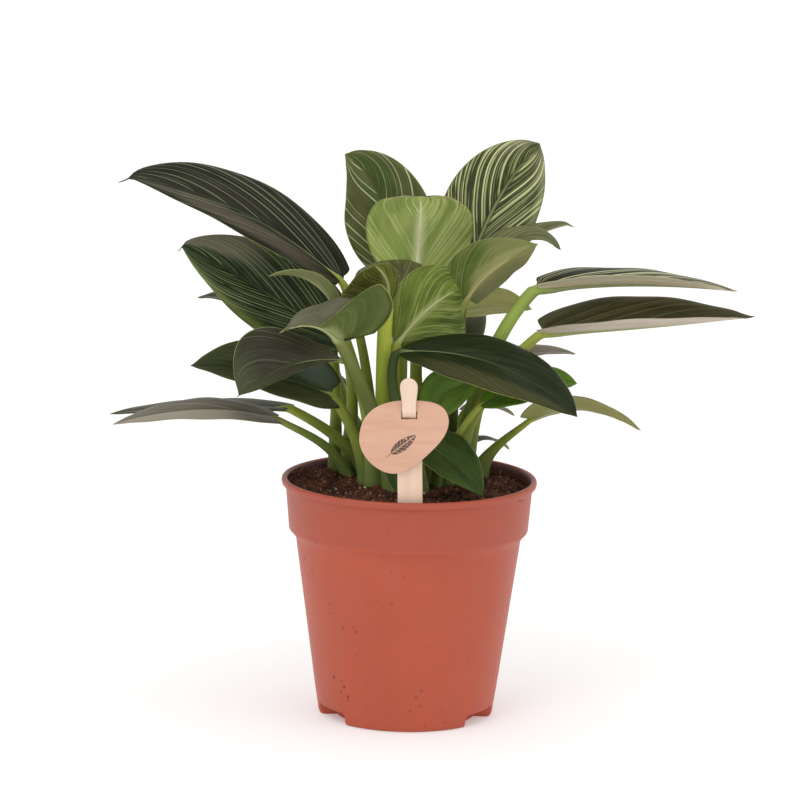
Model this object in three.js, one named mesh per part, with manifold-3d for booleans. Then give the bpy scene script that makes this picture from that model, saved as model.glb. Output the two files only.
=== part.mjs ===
// A potted birkin philodendron: a young plant with pinstriped leaves in a thin plastic nursery pot,
// with a wooden label on a stick. Millimetres, +Z up. The origin is the centre of the pot's flat base,
// and the plant's show side faces -Y.

import * as THREE from "three";
import { mergeVertices } from "three/addons/utils/BufferGeometryUtils.js";
import Module from "manifold-3d";

// Driving dimensions of the pot
const POT_RIM_RADIUS = 60;
const POT_HEIGHT = 113;
const POT_BAND_RADIUS = 58;
const POT_BAND_FOOT_RADIUS = 56.2;
const POT_BAND_FOOT_Z = 89;
const POT_BODY_TOP_RADIUS = 53;
const POT_BODY_TOP_Z = 85;
const POT_BASE_RADIUS = 41.2;
const POT_WALL = 1.3;
const POT_FLOOR = 1.6;
const POT_SIDES = 40;
const BASE_CORNER = 1.8;
const RIM_BEAD_HEIGHT = 3.6;
const RIM_CORNER = 0.8;
const FOOT_POCKETS = [60, 180, 300];
const FOOT_POCKET_SPAN = 31;
const FOOT_POCKET_DEPTH = 8;
const FOOT_POCKET_HEIGHT = 5.5;
const FOOT_POCKET_CORNER = 2.2;
const DRAIN_HOLES = 5;
const DRAIN_RADIUS = 2;
const DRAIN_RING = 20;
const CUT_PAST = 5;

// Driving dimensions of the soil
const GAP = 0.3;
const SOIL_EDGE_Z = 107.5;
const SOIL_MOUND = 2.5;
const SOIL_ROUGHNESS = 0.7;
const SOIL_SPOKES = 24;
const SOIL_RINGS = 5;

// Driving dimensions of the leaves
const STALK_FOOT_Z = 100;
const STALK_START_Z = 112.5;
const BLADE_THICKNESS = 0.9;
const MIDRIB_RIDGE = 0.7;
const TIP_HALF_WIDTH = 0.5;
const TIP_FLATTENS_FROM = 0.9;
const WIDEST_POWER = 0.52;
const TAPER_POWER = 0.86;
const LOBE_CLEARANCE = 1.6;
const STALK_RINGS = 5;
const STALK_STOPS_SHORT = 1.3;
const BLADE_STATIONS = [0.04, 0.12, 0.24, 0.37, 0.51, 0.65, 0.79, 0.91, 1];
const ACROSS = [-1, -0.5, 0, 0.5, 1];

// Driving dimensions of the label
const STICK_WIDTH = 12;
const STICK_NECK_WIDTH = 7;
const STICK_HEAD_RADIUS = 4;
const STICK_THICKNESS = 1.3;
const STICK_FOOT_Z = 93;
const STICK_TOP_Z = 171;
const STICK_X = 0.6;
const STICK_BACK_Y = -53.6;
const TAG_Y = -56.2;
const TAG_THICKNESS = 1.5;
const TAG_SLOT_Z = 151.5;
const TAG_SLOT_HEIGHT = 9;
const TAG_SLOT_WIDTH = 8.4;

const wasm = await Module();
wasm.setup();

// Turns a closed three.js geometry into a manifold solid
function toSolid(geometry) {
  const bare = geometry.clone();
  bare.deleteAttribute("normal");
  bare.deleteAttribute("uv");
  const merged = mergeVertices(bare, 1e-4);
  const mesh = new wasm.Mesh({
    numProp: 3,
    vertProperties: new Float32Array(merged.attributes.position.array),
    triVerts: new Uint32Array(merged.index.array),
  });
  mesh.merge();
  return new wasm.Manifold(mesh);
}

// Turns a manifold solid back into a three.js geometry
function toGeometry(solid) {
  const mesh = solid.getMesh();
  const geometry = new THREE.BufferGeometry();
  geometry.setAttribute("position", new THREE.BufferAttribute(new Float32Array(mesh.vertProperties), 3));
  geometry.setIndex(new THREE.BufferAttribute(new Uint32Array(mesh.triVerts), 1));
  return geometry;
}

// A lathe turned about Z from [radius, z] points
function turned(profile, sides) {
  const points = profile.map(([radius, z]) => new THREE.Vector2(radius, z));
  const geometry = new THREE.LatheGeometry(points, sides);
  geometry.rotateX(Math.PI / 2);
  return geometry;
}

// A smooth repeatable unevenness between -1 and 1
function unevenness(x, y) {
  const coarse = Math.sin(0.21 * x + 1.3) * Math.cos(0.17 * y - 0.4);
  const fine = Math.sin(0.53 * x - 0.37 * y + 2.1) + Math.cos(0.41 * x + 0.61 * y);
  return 0.5 * coarse + 0.25 * fine;
}

// The pot's outside from the centre of the base up to the top of the rim
function potOutside() {
  const bead = POT_RIM_RADIUS - POT_BAND_RADIUS;
  const beadFoot = POT_HEIGHT - RIM_BEAD_HEIGHT;
  return [
    [POT_BASE_RADIUS - BASE_CORNER, 0],
    [POT_BASE_RADIUS - BASE_CORNER / 4, BASE_CORNER / 3],
    [POT_BASE_RADIUS, BASE_CORNER],
    [POT_BODY_TOP_RADIUS, POT_BODY_TOP_Z],
    [POT_BAND_FOOT_RADIUS, POT_BAND_FOOT_Z],
    [POT_BAND_RADIUS, beadFoot - RIM_CORNER],
    [POT_BAND_RADIUS + bead / 2, beadFoot],
    [POT_RIM_RADIUS, beadFoot + RIM_BEAD_HEIGHT / 3],
    [POT_RIM_RADIUS, POT_HEIGHT - RIM_CORNER],
    [POT_RIM_RADIUS - RIM_CORNER, POT_HEIGHT],
  ];
}

// The pot's inside, from the top of the rim down to the floor, moved in by a clearance
function potInside(clearance) {
  const inset = POT_WALL + clearance;
  const floor = POT_FLOOR + clearance;
  return [
    [POT_BAND_RADIUS - inset, POT_HEIGHT - RIM_BEAD_HEIGHT - RIM_CORNER],
    [POT_BAND_FOOT_RADIUS - inset, POT_BAND_FOOT_Z],
    [POT_BODY_TOP_RADIUS - inset, POT_BODY_TOP_Z],
    [POT_BASE_RADIUS - inset, floor + BASE_CORNER],
    [POT_BASE_RADIUS - inset - BASE_CORNER, floor],
  ];
}

// The pocket that lets water out at the foot of the pot, grown by a margin
function footPocket(angle, margin) {
  const half = THREE.MathUtils.degToRad(FOOT_POCKET_SPAN / 2);
  const reach = POT_BASE_RADIUS * Math.tan(half) + margin;
  const height = FOOT_POCKET_HEIGHT + margin;
  const round = FOOT_POCKET_CORNER;
  const shape = new THREE.Shape();
  shape.moveTo(-reach, -CUT_PAST);
  shape.lineTo(-reach, height - round);
  shape.quadraticCurveTo(-reach, height, -reach + round, height);
  shape.lineTo(reach - round, height);
  shape.quadraticCurveTo(reach, height, reach, height - round);
  shape.lineTo(reach, -CUT_PAST);
  shape.closePath();
  const inner = POT_BASE_RADIUS - FOOT_POCKET_DEPTH - margin;
  const depth = FOOT_POCKET_DEPTH + margin + 2 * CUT_PAST;
  const block = new THREE.ExtrudeGeometry(shape, { depth, bevelEnabled: false, curveSegments: 3 });
  block.rotateX(Math.PI / 2);
  block.translate(0, -inner, 0);
  block.rotateZ(THREE.MathUtils.degToRad(angle));
  return toSolid(block);
}

// One of the small round holes in the pot's floor
function drainHole(index) {
  const angle = (index + 0.5) * (2 * Math.PI) / DRAIN_HOLES;
  const hole = new THREE.CylinderGeometry(DRAIN_RADIUS, DRAIN_RADIUS, 2 * CUT_PAST, 12);
  hole.rotateX(Math.PI / 2);
  hole.translate(DRAIN_RING * Math.sin(angle), -DRAIN_RING * Math.cos(angle), 0);
  return toSolid(hole);
}

// The hollow of the pot, or the block that fills it, clear of the foot pockets
function potHollow(clearance) {
  const mouth = POT_BAND_RADIUS - POT_WALL - clearance + RIM_CORNER / 2;
  const above = POT_HEIGHT + CUT_PAST;
  const profile = [[0, above], [mouth, above], ...potInside(clearance)];
  profile.push([0, POT_FLOOR + clearance]);
  let hollow = toSolid(turned(profile.reverse(), POT_SIDES));
  for (const angle of FOOT_POCKETS) {
    hollow = hollow.subtract(footPocket(angle, POT_WALL + clearance));
  }
  return hollow;
}

// The thin-walled pot with its rolled rim, foot pockets and drain holes
function potGeometry() {
  const outside = turned([[0, 0], ...potOutside(), [0, POT_HEIGHT]], POT_SIDES);
  let pot = toSolid(outside);
  for (const angle of FOOT_POCKETS) {
    pot = pot.subtract(footPocket(angle, 0));
  }
  pot = pot.subtract(potHollow(0));
  for (let i = 0; i < DRAIN_HOLES; i += 1) {
    pot = pot.subtract(drainHole(i));
  }
  return toGeometry(pot);
}

// Height of the soil's crumbly surface at a place in the pot
function soilHeight(x, y) {
  const outward = Math.hypot(x, y) / POT_BAND_RADIUS;
  return SOIL_EDGE_Z + SOIL_MOUND * (1 - outward * outward) + SOIL_ROUGHNESS * unevenness(x, y);
}

// A tall plug with the soil's uneven top, wider than the pot
function soilTop() {
  const reach = POT_BAND_RADIUS + CUT_PAST;
  const rings = [];
  for (let ring = 0; ring <= SOIL_RINGS; ring += 1) {
    const radius = reach * ring / SOIL_RINGS;
    const count = ring === 0 ? 1 : SOIL_SPOKES;
    const row = [];
    for (let spoke = 0; spoke < count; spoke += 1) {
      const angle = (spoke + 0.5 * (ring % 2)) * 2 * Math.PI / SOIL_SPOKES;
      const x = radius * Math.cos(angle);
      const y = radius * Math.sin(angle);
      row.push(new THREE.Vector3(x, y, soilHeight(x, y)));
    }
    rings.push(row);
  }
  const foot = rings[SOIL_RINGS].map((corner) => new THREE.Vector3(corner.x, corner.y, -CUT_PAST));
  rings.push(foot);
  const points = rings.flat();
  const start = (ring) => (ring === 0 ? 0 : 1 + (ring - 1) * SOIL_SPOKES);
  const faces = [];
  for (let spoke = 0; spoke < SOIL_SPOKES; spoke += 1) {
    faces.push([0, start(1) + spoke, start(1) + (spoke + 1) % SOIL_SPOKES]);
  }
  for (let ring = 1; ring <= SOIL_RINGS; ring += 1) {
    for (let spoke = 0; spoke < SOIL_SPOKES; spoke += 1) {
      const next = (spoke + 1) % SOIL_SPOKES;
      faces.push([start(ring) + spoke, start(ring + 1) + spoke, start(ring + 1) + next]);
      faces.push([start(ring) + spoke, start(ring + 1) + next, start(ring) + next]);
    }
  }
  points.push(new THREE.Vector3(0, 0, -CUT_PAST));
  for (let spoke = 0; spoke < SOIL_SPOKES; spoke += 1) {
    const last = start(SOIL_RINGS + 1);
    faces.push([points.length - 1, last + (spoke + 1) % SOIL_SPOKES, last + spoke]);
  }
  return geometryOf(points, faces);
}

// A geometry from its points and the triples of points that its triangles join
function geometryOf(points, faces) {
  const geometry = new THREE.BufferGeometry();
  geometry.setAttribute("position", new THREE.Float32BufferAttribute(points.flatMap((p) => p.toArray()), 3));
  geometry.setIndex(faces.flat());
  return geometry;
}

// A straight hole in the soil for one leaf stalk
function stalkHole(leaf) {
  const radius = (leaf.stalk[1] + GAP) / Math.cos(Math.PI / 8);
  const depth = POT_HEIGHT - STALK_FOOT_Z + CUT_PAST;
  const hole = new THREE.CylinderGeometry(radius, radius, depth, 8);
  hole.rotateX(Math.PI / 2);
  hole.translate(leaf.root[0], leaf.root[1], STALK_FOOT_Z - GAP + depth / 2);
  return toSolid(hole);
}

// The soil fills the pot, with holes for the stalks and a slot for the label's stick
function soilGeometry() {
  let soil = potHollow(GAP).intersect(toSolid(soilTop()));
  for (const leaf of LEAVES) {
    soil = soil.subtract(stalkHole(leaf));
  }
  const depth = POT_HEIGHT - STICK_FOOT_Z + CUT_PAST;
  const slot = new THREE.BoxGeometry(STICK_WIDTH + 2 * GAP, STICK_THICKNESS + 2 * GAP, depth);
  slot.translate(STICK_X, STICK_BACK_Y, STICK_FOOT_Z - GAP + depth / 2);
  soil = soil.subtract(toSolid(slot));
  return toGeometry(soil);
}

// What a leaf has unless it says otherwise
const PLAIN_LEAF = {
  fold: [[12, 12], [12, 12], [12, 12]],
  turn: [0, 0.5],
  share: [1, 1],
  lobe: 0.3,
  shape: [WIDEST_POWER, TAPER_POWER],
  stalk: [1.8, 2.6],
  sway: [[0, 0, 0], [0, 0, 0]],
};

// The leaves. Each has the place of its root in the soil, the base, middle and tip of its midrib,
// its half width and the way its upper face looks at base and tip. Where it differs from a plain
// leaf, it has how far its left and right halves fold up in degrees at base, middle and tip, the
// stations between which the base's fold turns into the middle's, the share of the half width that
// each half has, how far its lobes sweep back, the powers that shape its outline towards base and
// tip, its stalk's radius at the blade and at the root, and the stalk's sway low down and high up.
const LEAVES = [
  {
    name: "leaf_long_upper_left", root: [-16, 20],
    base: [-33, 9, 204], mid: [-82, 5, 239], tip: [-137, -8, 253],
    width: 19, face: [[0.3, -0.6, 0.75], [-0.1, -0.5, 0.85]], shape: [0.52, 0.74],
  },
  {
    name: "leaf_striped_left", root: [-28, 22],
    base: [-32, 13, 173], mid: [-69, 17, 198], tip: [-108, 6, 218],
    width: 24, face: [[-0.1, -0.85, 0.5], [-0.3, -0.7, 0.6]], shape: [0.52, 0.75], lobe: 0.1,
  },
  {
    name: "leaf_back_left", root: [-35, 25],
    base: [-43, 31, 184], mid: [-75, 44, 190], tip: [-103, 54, 190],
    width: 16, face: [[0, -0.1, 1], [-0.1, -0.1, 1]],
  },
  {
    name: "leaf_dark_left", root: [-20, 3],
    base: [-31, -3, 149], mid: [-67, -13, 163], tip: [-102, -25, 169],
    width: 22, face: [[0, -0.4, 0.9], [-0.3, -0.4, 0.85]], fold: [[12, 35], [12, 40], [12, 30]],
    share: [1, 0.9],
  },
  {
    name: "leaf_curled_young", root: [-14, 11],
    base: [-35, -6, 193], mid: [-48, -12, 206], tip: [-67, -17, 210],
    width: 9, face: [[0, 0.3, 0.95], [-0.2, 0.1, 0.95]], fold: [[40, 30], [40, 30], [30, 30]],
    stalk: [1.4, 2.2],
  },
  {
    name: "leaf_folded_front", root: [-8, -12],
    base: [-27, -26, 184], mid: [-44, -33, 194], tip: [-61, -38, 187],
    width: 28.5, face: [[0.3, 0, 1], [-0.1, -0.1, 1]], fold: [[85, 72], [10, 5], [0, 5]],
    turn: [0.2, 0.4], share: [1, 0.6], lobe: 0.3, shape: [0.4, 1.05], stalk: [2.3, 3.4],
  },
  {
    name: "leaf_arched_front", root: [-12, 3],
    base: [-12, -11, 196], mid: [-12, -17, 208.5], tip: [-18, -28, 218],
    width: 22, face: [[-0.1, 0.95, 0.2], [0, 0.8, 0.6]], fold: [[50, 0], [50, 0], [30, 10]],
    share: [0.35, 1], lobe: 0.5, stalk: [2.6, 3.2],
  },
  {
    name: "leaf_olive_centre", root: [-5, 12],
    base: [-4, 7, 197], mid: [-5, 14, 210], tip: [-6, 24, 212],
    width: 23, face: [[0, -0.6, 0.8], [0, 0, 1]], fold: [[15, 0], [0, 0], [-5, 0]], share: [1, 0.5],
  },
  {
    name: "leaf_underside_centre", root: [-3, 0],
    base: [-7, -6, 177], mid: [8, -8, 195], tip: [27, -1, 204],
    width: 20, face: [[0.1, 1, -0.1], [0.1, 1, -0.1]], fold: [[18, 12], [18, 12], [18, 12]], lobe: 0.1,
  },
  {
    name: "leaf_underside_right", root: [15, 15],
    base: [25, -16, 205], mid: [37, -22, 219], tip: [57, -22, 228],
    width: 17, face: [[0.2, 1, -0.1], [0.2, 1, 0]], fold: [[65, 5], [60, 5], [25, 5]],
    share: [0.95, 0.86], lobe: 0.3, sway: [[2, 0, 0], [5, 6, 0]],
  },
  {
    name: "leaf_pale_top", root: [3, 9],
    base: [2, 32, 203], mid: [3, 16, 231], tip: [3, -13, 248],
    width: 26, face: [[0, 0.9, 0.45], [0, 0.5, 0.85]],
  },
  {
    name: "leaf_top_left", root: [-8, 20],
    base: [-7, 45, 205], mid: [-16, 47, 239], tip: [-33, 40, 260],
    width: 22, face: [[0.1, -0.95, 0.3], [0.1, -0.95, 0.3]], fold: [[8, 28], [8, 28], [8, 20]],
    shape: [0.52, 0.8],
  },
  {
    name: "leaf_top_right", root: [14, 27],
    base: [27, 46, 207], mid: [41, 48, 240], tip: [59, 46, 266],
    width: 24, face: [[0, -0.95, 0.3], [0, -0.95, 0.3]], fold: [[12, 25], [12, 25], [12, 12]],
    shape: [0.52, 0.68],
  },
  {
    name: "leaf_thin_back_right", root: [10, 20],
    base: [26, 22, 205], mid: [52, 27, 222], tip: [76, 33, 230],
    width: 10, face: [[0, -0.1, 1], [0, -0.1, 1]], fold: [[30, 10], [30, 10], [30, 30]],
  },
  {
    name: "leaf_tip_back_right", root: [19, 20],
    base: [29, 10, 212], mid: [52, 14, 226], tip: [69, 14, 220],
    width: 10, face: [[0, -0.3, 0.95], [0, -0.3, 0.95]],
  },
  {
    name: "leaf_long_right_upper", root: [22, 11],
    base: [57, 2, 203], mid: [104, 0, 206.5], tip: [151, -6, 205],
    width: 17, face: [[0, 0, 1], [0, 0, 1]], fold: [[30, 24], [18, 24], [8, 20]],
    stalk: [2.4, 3.6], shape: [0.52, 0.74],
  },
  {
    name: "leaf_long_right_lower", root: [18, 3],
    base: [60, -4, 183], mid: [111, -8, 188], tip: [159, -10, 194],
    width: 20, face: [[0, -0.15, 1], [0, -0.15, 1]], fold: [[32, 30], [32, 30], [25, 25]],
    stalk: [2, 3.4],
  },
  {
    name: "leaf_grey_right", root: [27, 16],
    base: [41, 17, 165], mid: [58, 24, 169], tip: [78, 29, 168],
    width: 8, face: [[0, -0.2, 1], [0, -0.2, 1]],
  },
  {
    name: "leaf_olive_right", root: [20, 25],
    base: [19, 30, 187], mid: [39, 37, 189], tip: [57, 41, 187],
    width: 15, face: [[0, 0.8, 0.6], [0, 0.8, 0.6]], share: [0.6, 0.8],
  },
  {
    name: "leaf_broad_front_right", root: [2, -8],
    base: [-7, -14, 175], mid: [37, -29, 173], tip: [76, -51, 153],
    width: 20, face: [[0.1, -0.5, 0.85], [0.3, -0.5, 0.85]], fold: [[5, 0], [5, 0], [5, 5]],
    share: [0.9, 1], lobe: 0.05, shape: [0.85, 0.8],
  },
  {
    name: "leaf_green_right", root: [13, -7],
    base: [32, -12, 150], mid: [55, -12, 161], tip: [77, -16, 162],
    width: 17, face: [[-0.1, -0.5, 0.85], [-0.1, -0.5, 0.85]], lobe: 0.05, shape: [0.8, 0.8],
    stalk: [1.4, 2.4], share: [0.6, 1],
  },
  {
    name: "leaf_small_low_right", root: [22, 35],
    base: [25, 35, 138], mid: [37, 40, 140], tip: [50, 48, 134],
    width: 7, face: [[0, 0, 1], [0, 0, 1]], stalk: [1.1, 1.8],
  },
  {
    name: "leaf_pale_low_right", root: [33, 19],
    base: [56, 10, 139], mid: [80, 4, 146], tip: [108, -4, 138],
    width: 14, face: [[0, 0.45, 0.9], [0, 0.45, 0.9]], stalk: [1.4, 3],
  },
  {
    name: "leaf_thin_low_right", root: [26, 37],
    base: [27, 38, 121], mid: [38, 44, 123], tip: [48, 50, 117],
    width: 5, face: [[0, 0, 1], [0, 0, 1]], stalk: [0.9, 1.6],
  },
  {
    name: "leaf_front_low", root: [5, -16],
    base: [5, -14, 134], mid: [18, -28, 127], tip: [34, -40, 113],
    width: 15, face: [[0.1, -0.6, 0.8], [0.4, -0.6, 0.6]],
  },
  {
    name: "leaf_small_front", root: [-6, -20],
    base: [-6, -20, 133], mid: [-11, -30, 126], tip: [-6, -42, 115],
    width: 8, face: [[-0.1, -0.8, 0.5], [-0.1, -0.8, 0.5]], stalk: [1.2, 2],
  },
  {
    name: "leaf_young_green", root: [8, 3],
    base: [11, -2, 146], mid: [16, -4, 154], tip: [33, -8, 162],
    width: 12, face: [[-0.4, -0.8, 0.4], [-0.2, -0.8, 0.5]], stalk: [1.4, 2.2],
  },
  {
    name: "leaf_grey_front_left", root: [-16, -5],
    base: [-30, -12, 170], mid: [-55, -34, 176], tip: [-79, -60, 161],
    width: 20, face: [[-0.1, -0.6, 0.8], [-0.4, -0.6, 0.7]], fold: [[20, 0], [-8, -8], [-5, -5]],
    lobe: 0.05, shape: [0.8, 0.8],
  },
  {
    name: "leaf_low_left_back", root: [-22, 16],
    base: [-57, 10, 143], mid: [-97, 16, 142], tip: [-142, 14, 138],
    width: 16, face: [[0, -0.05, 1], [0, -0.05, 1]], fold: [[4, 0], [4, 0], [4, 4]],
    stalk: [2.1, 3],
  },
  {
    name: "leaf_low_left_front", root: [-30, 11],
    base: [-62, -12, 142], mid: [-98, -18, 147], tip: [-138, -22, 140],
    width: 16, face: [[0, -0.1, 1], [0, -0.1, 1]], fold: [[0, 4], [0, 4], [0, 4]],
    stalk: [1.3, 2.4],
  },
  {
    name: "leaf_rear_top", root: [1, 23],
    base: [4, 62, 196], mid: [6, 88, 214], tip: [4, 118, 205],
    width: 21, face: [[0, -0.3, 1], [0, 0.2, 1]],
  },
  {
    name: "leaf_rear_left", root: [-25, 32],
    base: [-42, 45, 172], mid: [-58, 68, 186], tip: [-78, 97, 180],
    width: 18, face: [[0, -0.3, 1], [-0.1, 0.1, 1]],
  },
  {
    name: "leaf_rear_right", root: [12, 34],
    base: [18, 48, 158], mid: [20, 76, 176], tip: [22, 108, 168],
    width: 17, face: [[0, -0.3, 1], [0, 0.2, 1]],
  },
  {
    name: "leaf_rear_low", root: [3, 33],
    base: [2, 50, 126], mid: [-1, 80, 131], tip: [-4, 112, 120],
    width: 15, face: [[0, -0.2, 1], [0, 0.2, 1]],
  },
  {
    name: "leaf_rear_low_left", root: [-16, 31],
    base: [-32, 44, 140], mid: [-58, 66, 150], tip: [-83, 88, 142],
    width: 14, face: [[0, -0.2, 1], [-0.1, 0.1, 1]],
  },
].map((leaf) => ({ ...PLAIN_LEAF, ...leaf }));

const vector = (xyz) => new THREE.Vector3(...xyz);

// The midrib is a curve from the blade's base through its middle to its tip
function midribOf(leaf) {
  const base = vector(leaf.base);
  const tip = vector(leaf.tip);
  const pull = vector(leaf.mid).multiplyScalar(2).addScaledVector(base, -0.5).addScaledVector(tip, -0.5);
  return new THREE.QuadraticBezierCurve3(base, pull, tip);
}

// The stalk leans out of the soil and swings over to meet the blade
function stalkOf(leaf) {
  const foot = new THREE.Vector3(leaf.root[0], leaf.root[1], STALK_START_Z);
  const base = vector(leaf.base);
  const reach = base.distanceTo(foot);
  const along = base.clone().sub(foot).normalize();
  const lead = midribOf(leaf).getTangent(0).multiplyScalar(0.6).add(along).normalize();
  const lean = along.clone().add(new THREE.Vector3(0, 0, 1)).normalize();
  const rise = foot.clone().addScaledVector(lean, 0.35 * reach).add(vector(leaf.sway[0]));
  const swing = base.clone().addScaledVector(lead, -0.3 * reach).add(vector(leaf.sway[1]));
  return new THREE.CubicBezierCurve3(foot, rise, swing, base);
}

// Half width of a blade at a station from 0 at its base to 1 at its tip, as a share of its widest
function bladeOutline(station, [swell, taper]) {
  const widest = swell / (swell + taper);
  const rising = Math.pow(station / widest, swell);
  return rising * Math.pow((1 - station) / (1 - widest), taper);
}

// How far one half of a blade folds up at a station, in radians
function bladeFold(leaf, hand, station) {
  const [base, middle, tip] = leaf.fold.map((pair) => pair[hand]);
  const { smoothstep, lerp, degToRad } = THREE.MathUtils;
  const towardsMiddle = lerp(base, middle, smoothstep(station, ...leaf.turn));
  const flatTip = 1 - smoothstep(station, TIP_FLATTENS_FROM, 1);
  return flatTip * degToRad(lerp(towardsMiddle, tip, smoothstep(station, 0.5, 1)));
}

// Side and upward directions of a blade at a station
function bladeFrame(leaf, midrib, station) {
  const along = midrib.getTangentAt(station);
  const face = vector(leaf.face[0]).lerp(vector(leaf.face[1]), station);
  const side = along.clone().cross(face).normalize();
  const up = side.clone().cross(along).normalize();
  return { along, side, up };
}

// The points across a blade's middle surface at a station
function bladeRow(leaf, midrib, station) {
  const { along, side, up } = bladeFrame(leaf, midrib, station);
  const spine = midrib.getPointAt(station);
  const half = TIP_HALF_WIDTH + (leaf.width - TIP_HALF_WIDTH) * bladeOutline(station, leaf.shape);
  const swept = leaf.lobe * leaf.width * Math.pow(1 - station, 4);
  return ACROSS.map((across) => {
    const hand = across < 0 ? 0 : 1;
    const fold = bladeFold(leaf, hand, station);
    const out = half * leaf.share[hand] * Math.abs(across);
    const clearOfStalk = Math.max(out - LOBE_CLEARANCE * leaf.stalk[0], 0);
    return spine.clone()
      .addScaledVector(side, Math.sign(across) * out * Math.cos(fold))
      .addScaledVector(up, out * Math.sin(fold))
      .addScaledVector(along, -Math.min(swept * across * across, clearOfStalk));
  });
}

// Rings of points round a stalk, carried down from the blade's own frame without twisting
function stalkRings(leaf, stalk, frame) {
  const rings = [];
  const end = 1 - STALK_STOPS_SHORT * leaf.stalk[0] / stalk.getLength();
  let side = frame.side.clone();
  for (let step = 0; step <= STALK_RINGS; step += 1) {
    const t = end * (1 - step / STALK_RINGS);
    const along = stalk.getTangentAt(t);
    side = side.addScaledVector(along, -side.dot(along)).normalize();
    rings.push(roundRing(stalk.getPointAt(t), side, side.clone().cross(along), stalkRadius(leaf, t)));
  }
  const foot = new THREE.Vector3(leaf.root[0], leaf.root[1], STALK_FOOT_Z);
  side.setZ(0).normalize();
  rings.push(roundRing(foot, side, side.clone().cross(new THREE.Vector3(0, 0, 1)), leaf.stalk[1]));
  return rings.reverse();
}

// The stalk thins from its sheath at the root to the blade
function stalkRadius(leaf, t) {
  return THREE.MathUtils.lerp(leaf.stalk[1], leaf.stalk[0], Math.sqrt(t));
}

// A round ring with as many points above as below
function roundRing(centre, side, up, radius) {
  const count = ACROSS.length;
  const step = Math.PI / count;
  const at = (angle) => centre.clone()
    .addScaledVector(side, radius * Math.cos(angle))
    .addScaledVector(up, radius * Math.sin(angle));
  const top = ACROSS.map((_, i) => at(Math.PI - step * (i + 0.5)));
  const bottom = ACROSS.map((_, i) => at(-Math.PI + step * (i + 0.5)));
  return { top, bottom };
}

// A blade's rings: its middle surface made half a thickness thicker on each side
function bladeRings(leaf, midrib) {
  const rows = BLADE_STATIONS.map((station) => bladeRow(leaf, midrib, station));
  return rows.map((row, i) => {
    const before = rows[Math.max(i - 1, 0)];
    const after = rows[Math.min(i + 1, rows.length - 1)];
    const { up } = bladeFrame(leaf, midrib, BLADE_STATIONS[i]);
    const normals = row.map((_, j) => {
      if (ACROSS[j] === 0) {
        return up;
      }
      const lengthwise = after[j].clone().sub(before[j]);
      const crosswise = row[Math.min(j + 1, row.length - 1)].clone().sub(row[Math.max(j - 1, 0)]);
      const normal = crosswise.cross(lengthwise).normalize();
      return normal.dot(up) < 0 ? normal.negate() : normal;
    });
    const ridge = MIDRIB_RIDGE * (1 - BLADE_STATIONS[i]);
    const top = row.map((point, j) => point.clone().addScaledVector(normals[j], BLADE_THICKNESS / 2));
    const bottom = row.map((point, j) => {
      const depth = BLADE_THICKNESS / 2 + (ACROSS[j] === 0 ? ridge : 0);
      return point.clone().addScaledVector(normals[j], -depth);
    });
    return { top, bottom };
  });
}

// Skins a run of rings into one closed solid
function skinned(rings) {
  const count = ACROSS.length;
  const around = 2 * count;
  const points = rings.flatMap((ring) => [...ring.top, ...ring.bottom.slice().reverse()]);
  const faces = [];
  const quad = (a, b, c, d, flip) => {
    if (flip) {
      faces.push([a, b, d], [b, c, d]);
    } else {
      faces.push([a, b, c], [a, c, d]);
    }
  };
  for (let i = 0; i + 1 < rings.length; i += 1) {
    for (let j = 0; j < around; j += 1) {
      const next = (j + 1) % around;
      quad(i * around + j, i * around + next, (i + 1) * around + next, (i + 1) * around + j, j >= count);
    }
  }
  const last = (rings.length - 1) * around;
  for (let j = 0; j + 1 < count; j += 1) {
    quad(j, around - 1 - j, around - 2 - j, j + 1, false);
    quad(last + j, last + j + 1, last + around - 2 - j, last + around - 1 - j, false);
  }
  return geometryOf(points, faces);
}

// A leaf is one solid: its stalk runs on into its blade
function leafGeometry(leaf) {
  const midrib = midribOf(leaf);
  const stalk = stalkOf(leaf);
  const rings = [...stalkRings(leaf, stalk, bladeFrame(leaf, midrib, 0)), ...bladeRings(leaf, midrib)];
  return skinned(rings);
}

// The label's stick: its front outline cut by its bent side profile, so that its neck
// passes through the slot of the tag
function stickGeometry() {
  const half = STICK_WIDTH / 2;
  const neck = STICK_NECK_WIDTH / 2;
  const shoulder = TAG_SLOT_Z - TAG_SLOT_HEIGHT / 2 - 3;
  const headCentre = STICK_TOP_Z - STICK_HEAD_RADIUS;
  const front = new THREE.Shape();
  front.moveTo(-half, STICK_FOOT_Z);
  front.lineTo(half, STICK_FOOT_Z);
  front.lineTo(half, shoulder - 3);
  front.quadraticCurveTo(half, shoulder, neck, shoulder);
  front.lineTo(neck, headCentre - 6);
  front.quadraticCurveTo(STICK_HEAD_RADIUS, headCentre - 3, STICK_HEAD_RADIUS, headCentre);
  front.absarc(0, headCentre, STICK_HEAD_RADIUS, 0, Math.PI, false);
  front.quadraticCurveTo(-STICK_HEAD_RADIUS, headCentre - 3, -neck, headCentre - 6);
  front.lineTo(-neck, shoulder);
  front.quadraticCurveTo(-half, shoulder, -half, shoulder - 3);
  front.closePath();
  const outline = new THREE.ExtrudeGeometry(front, { depth: 40, bevelEnabled: false, curveSegments: 5 });
  outline.rotateX(Math.PI / 2);
  outline.translate(STICK_X, -30, 0);
  const bent = bentProfile();
  return toGeometry(toSolid(outline).intersect(toSolid(bent)));
}

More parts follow.
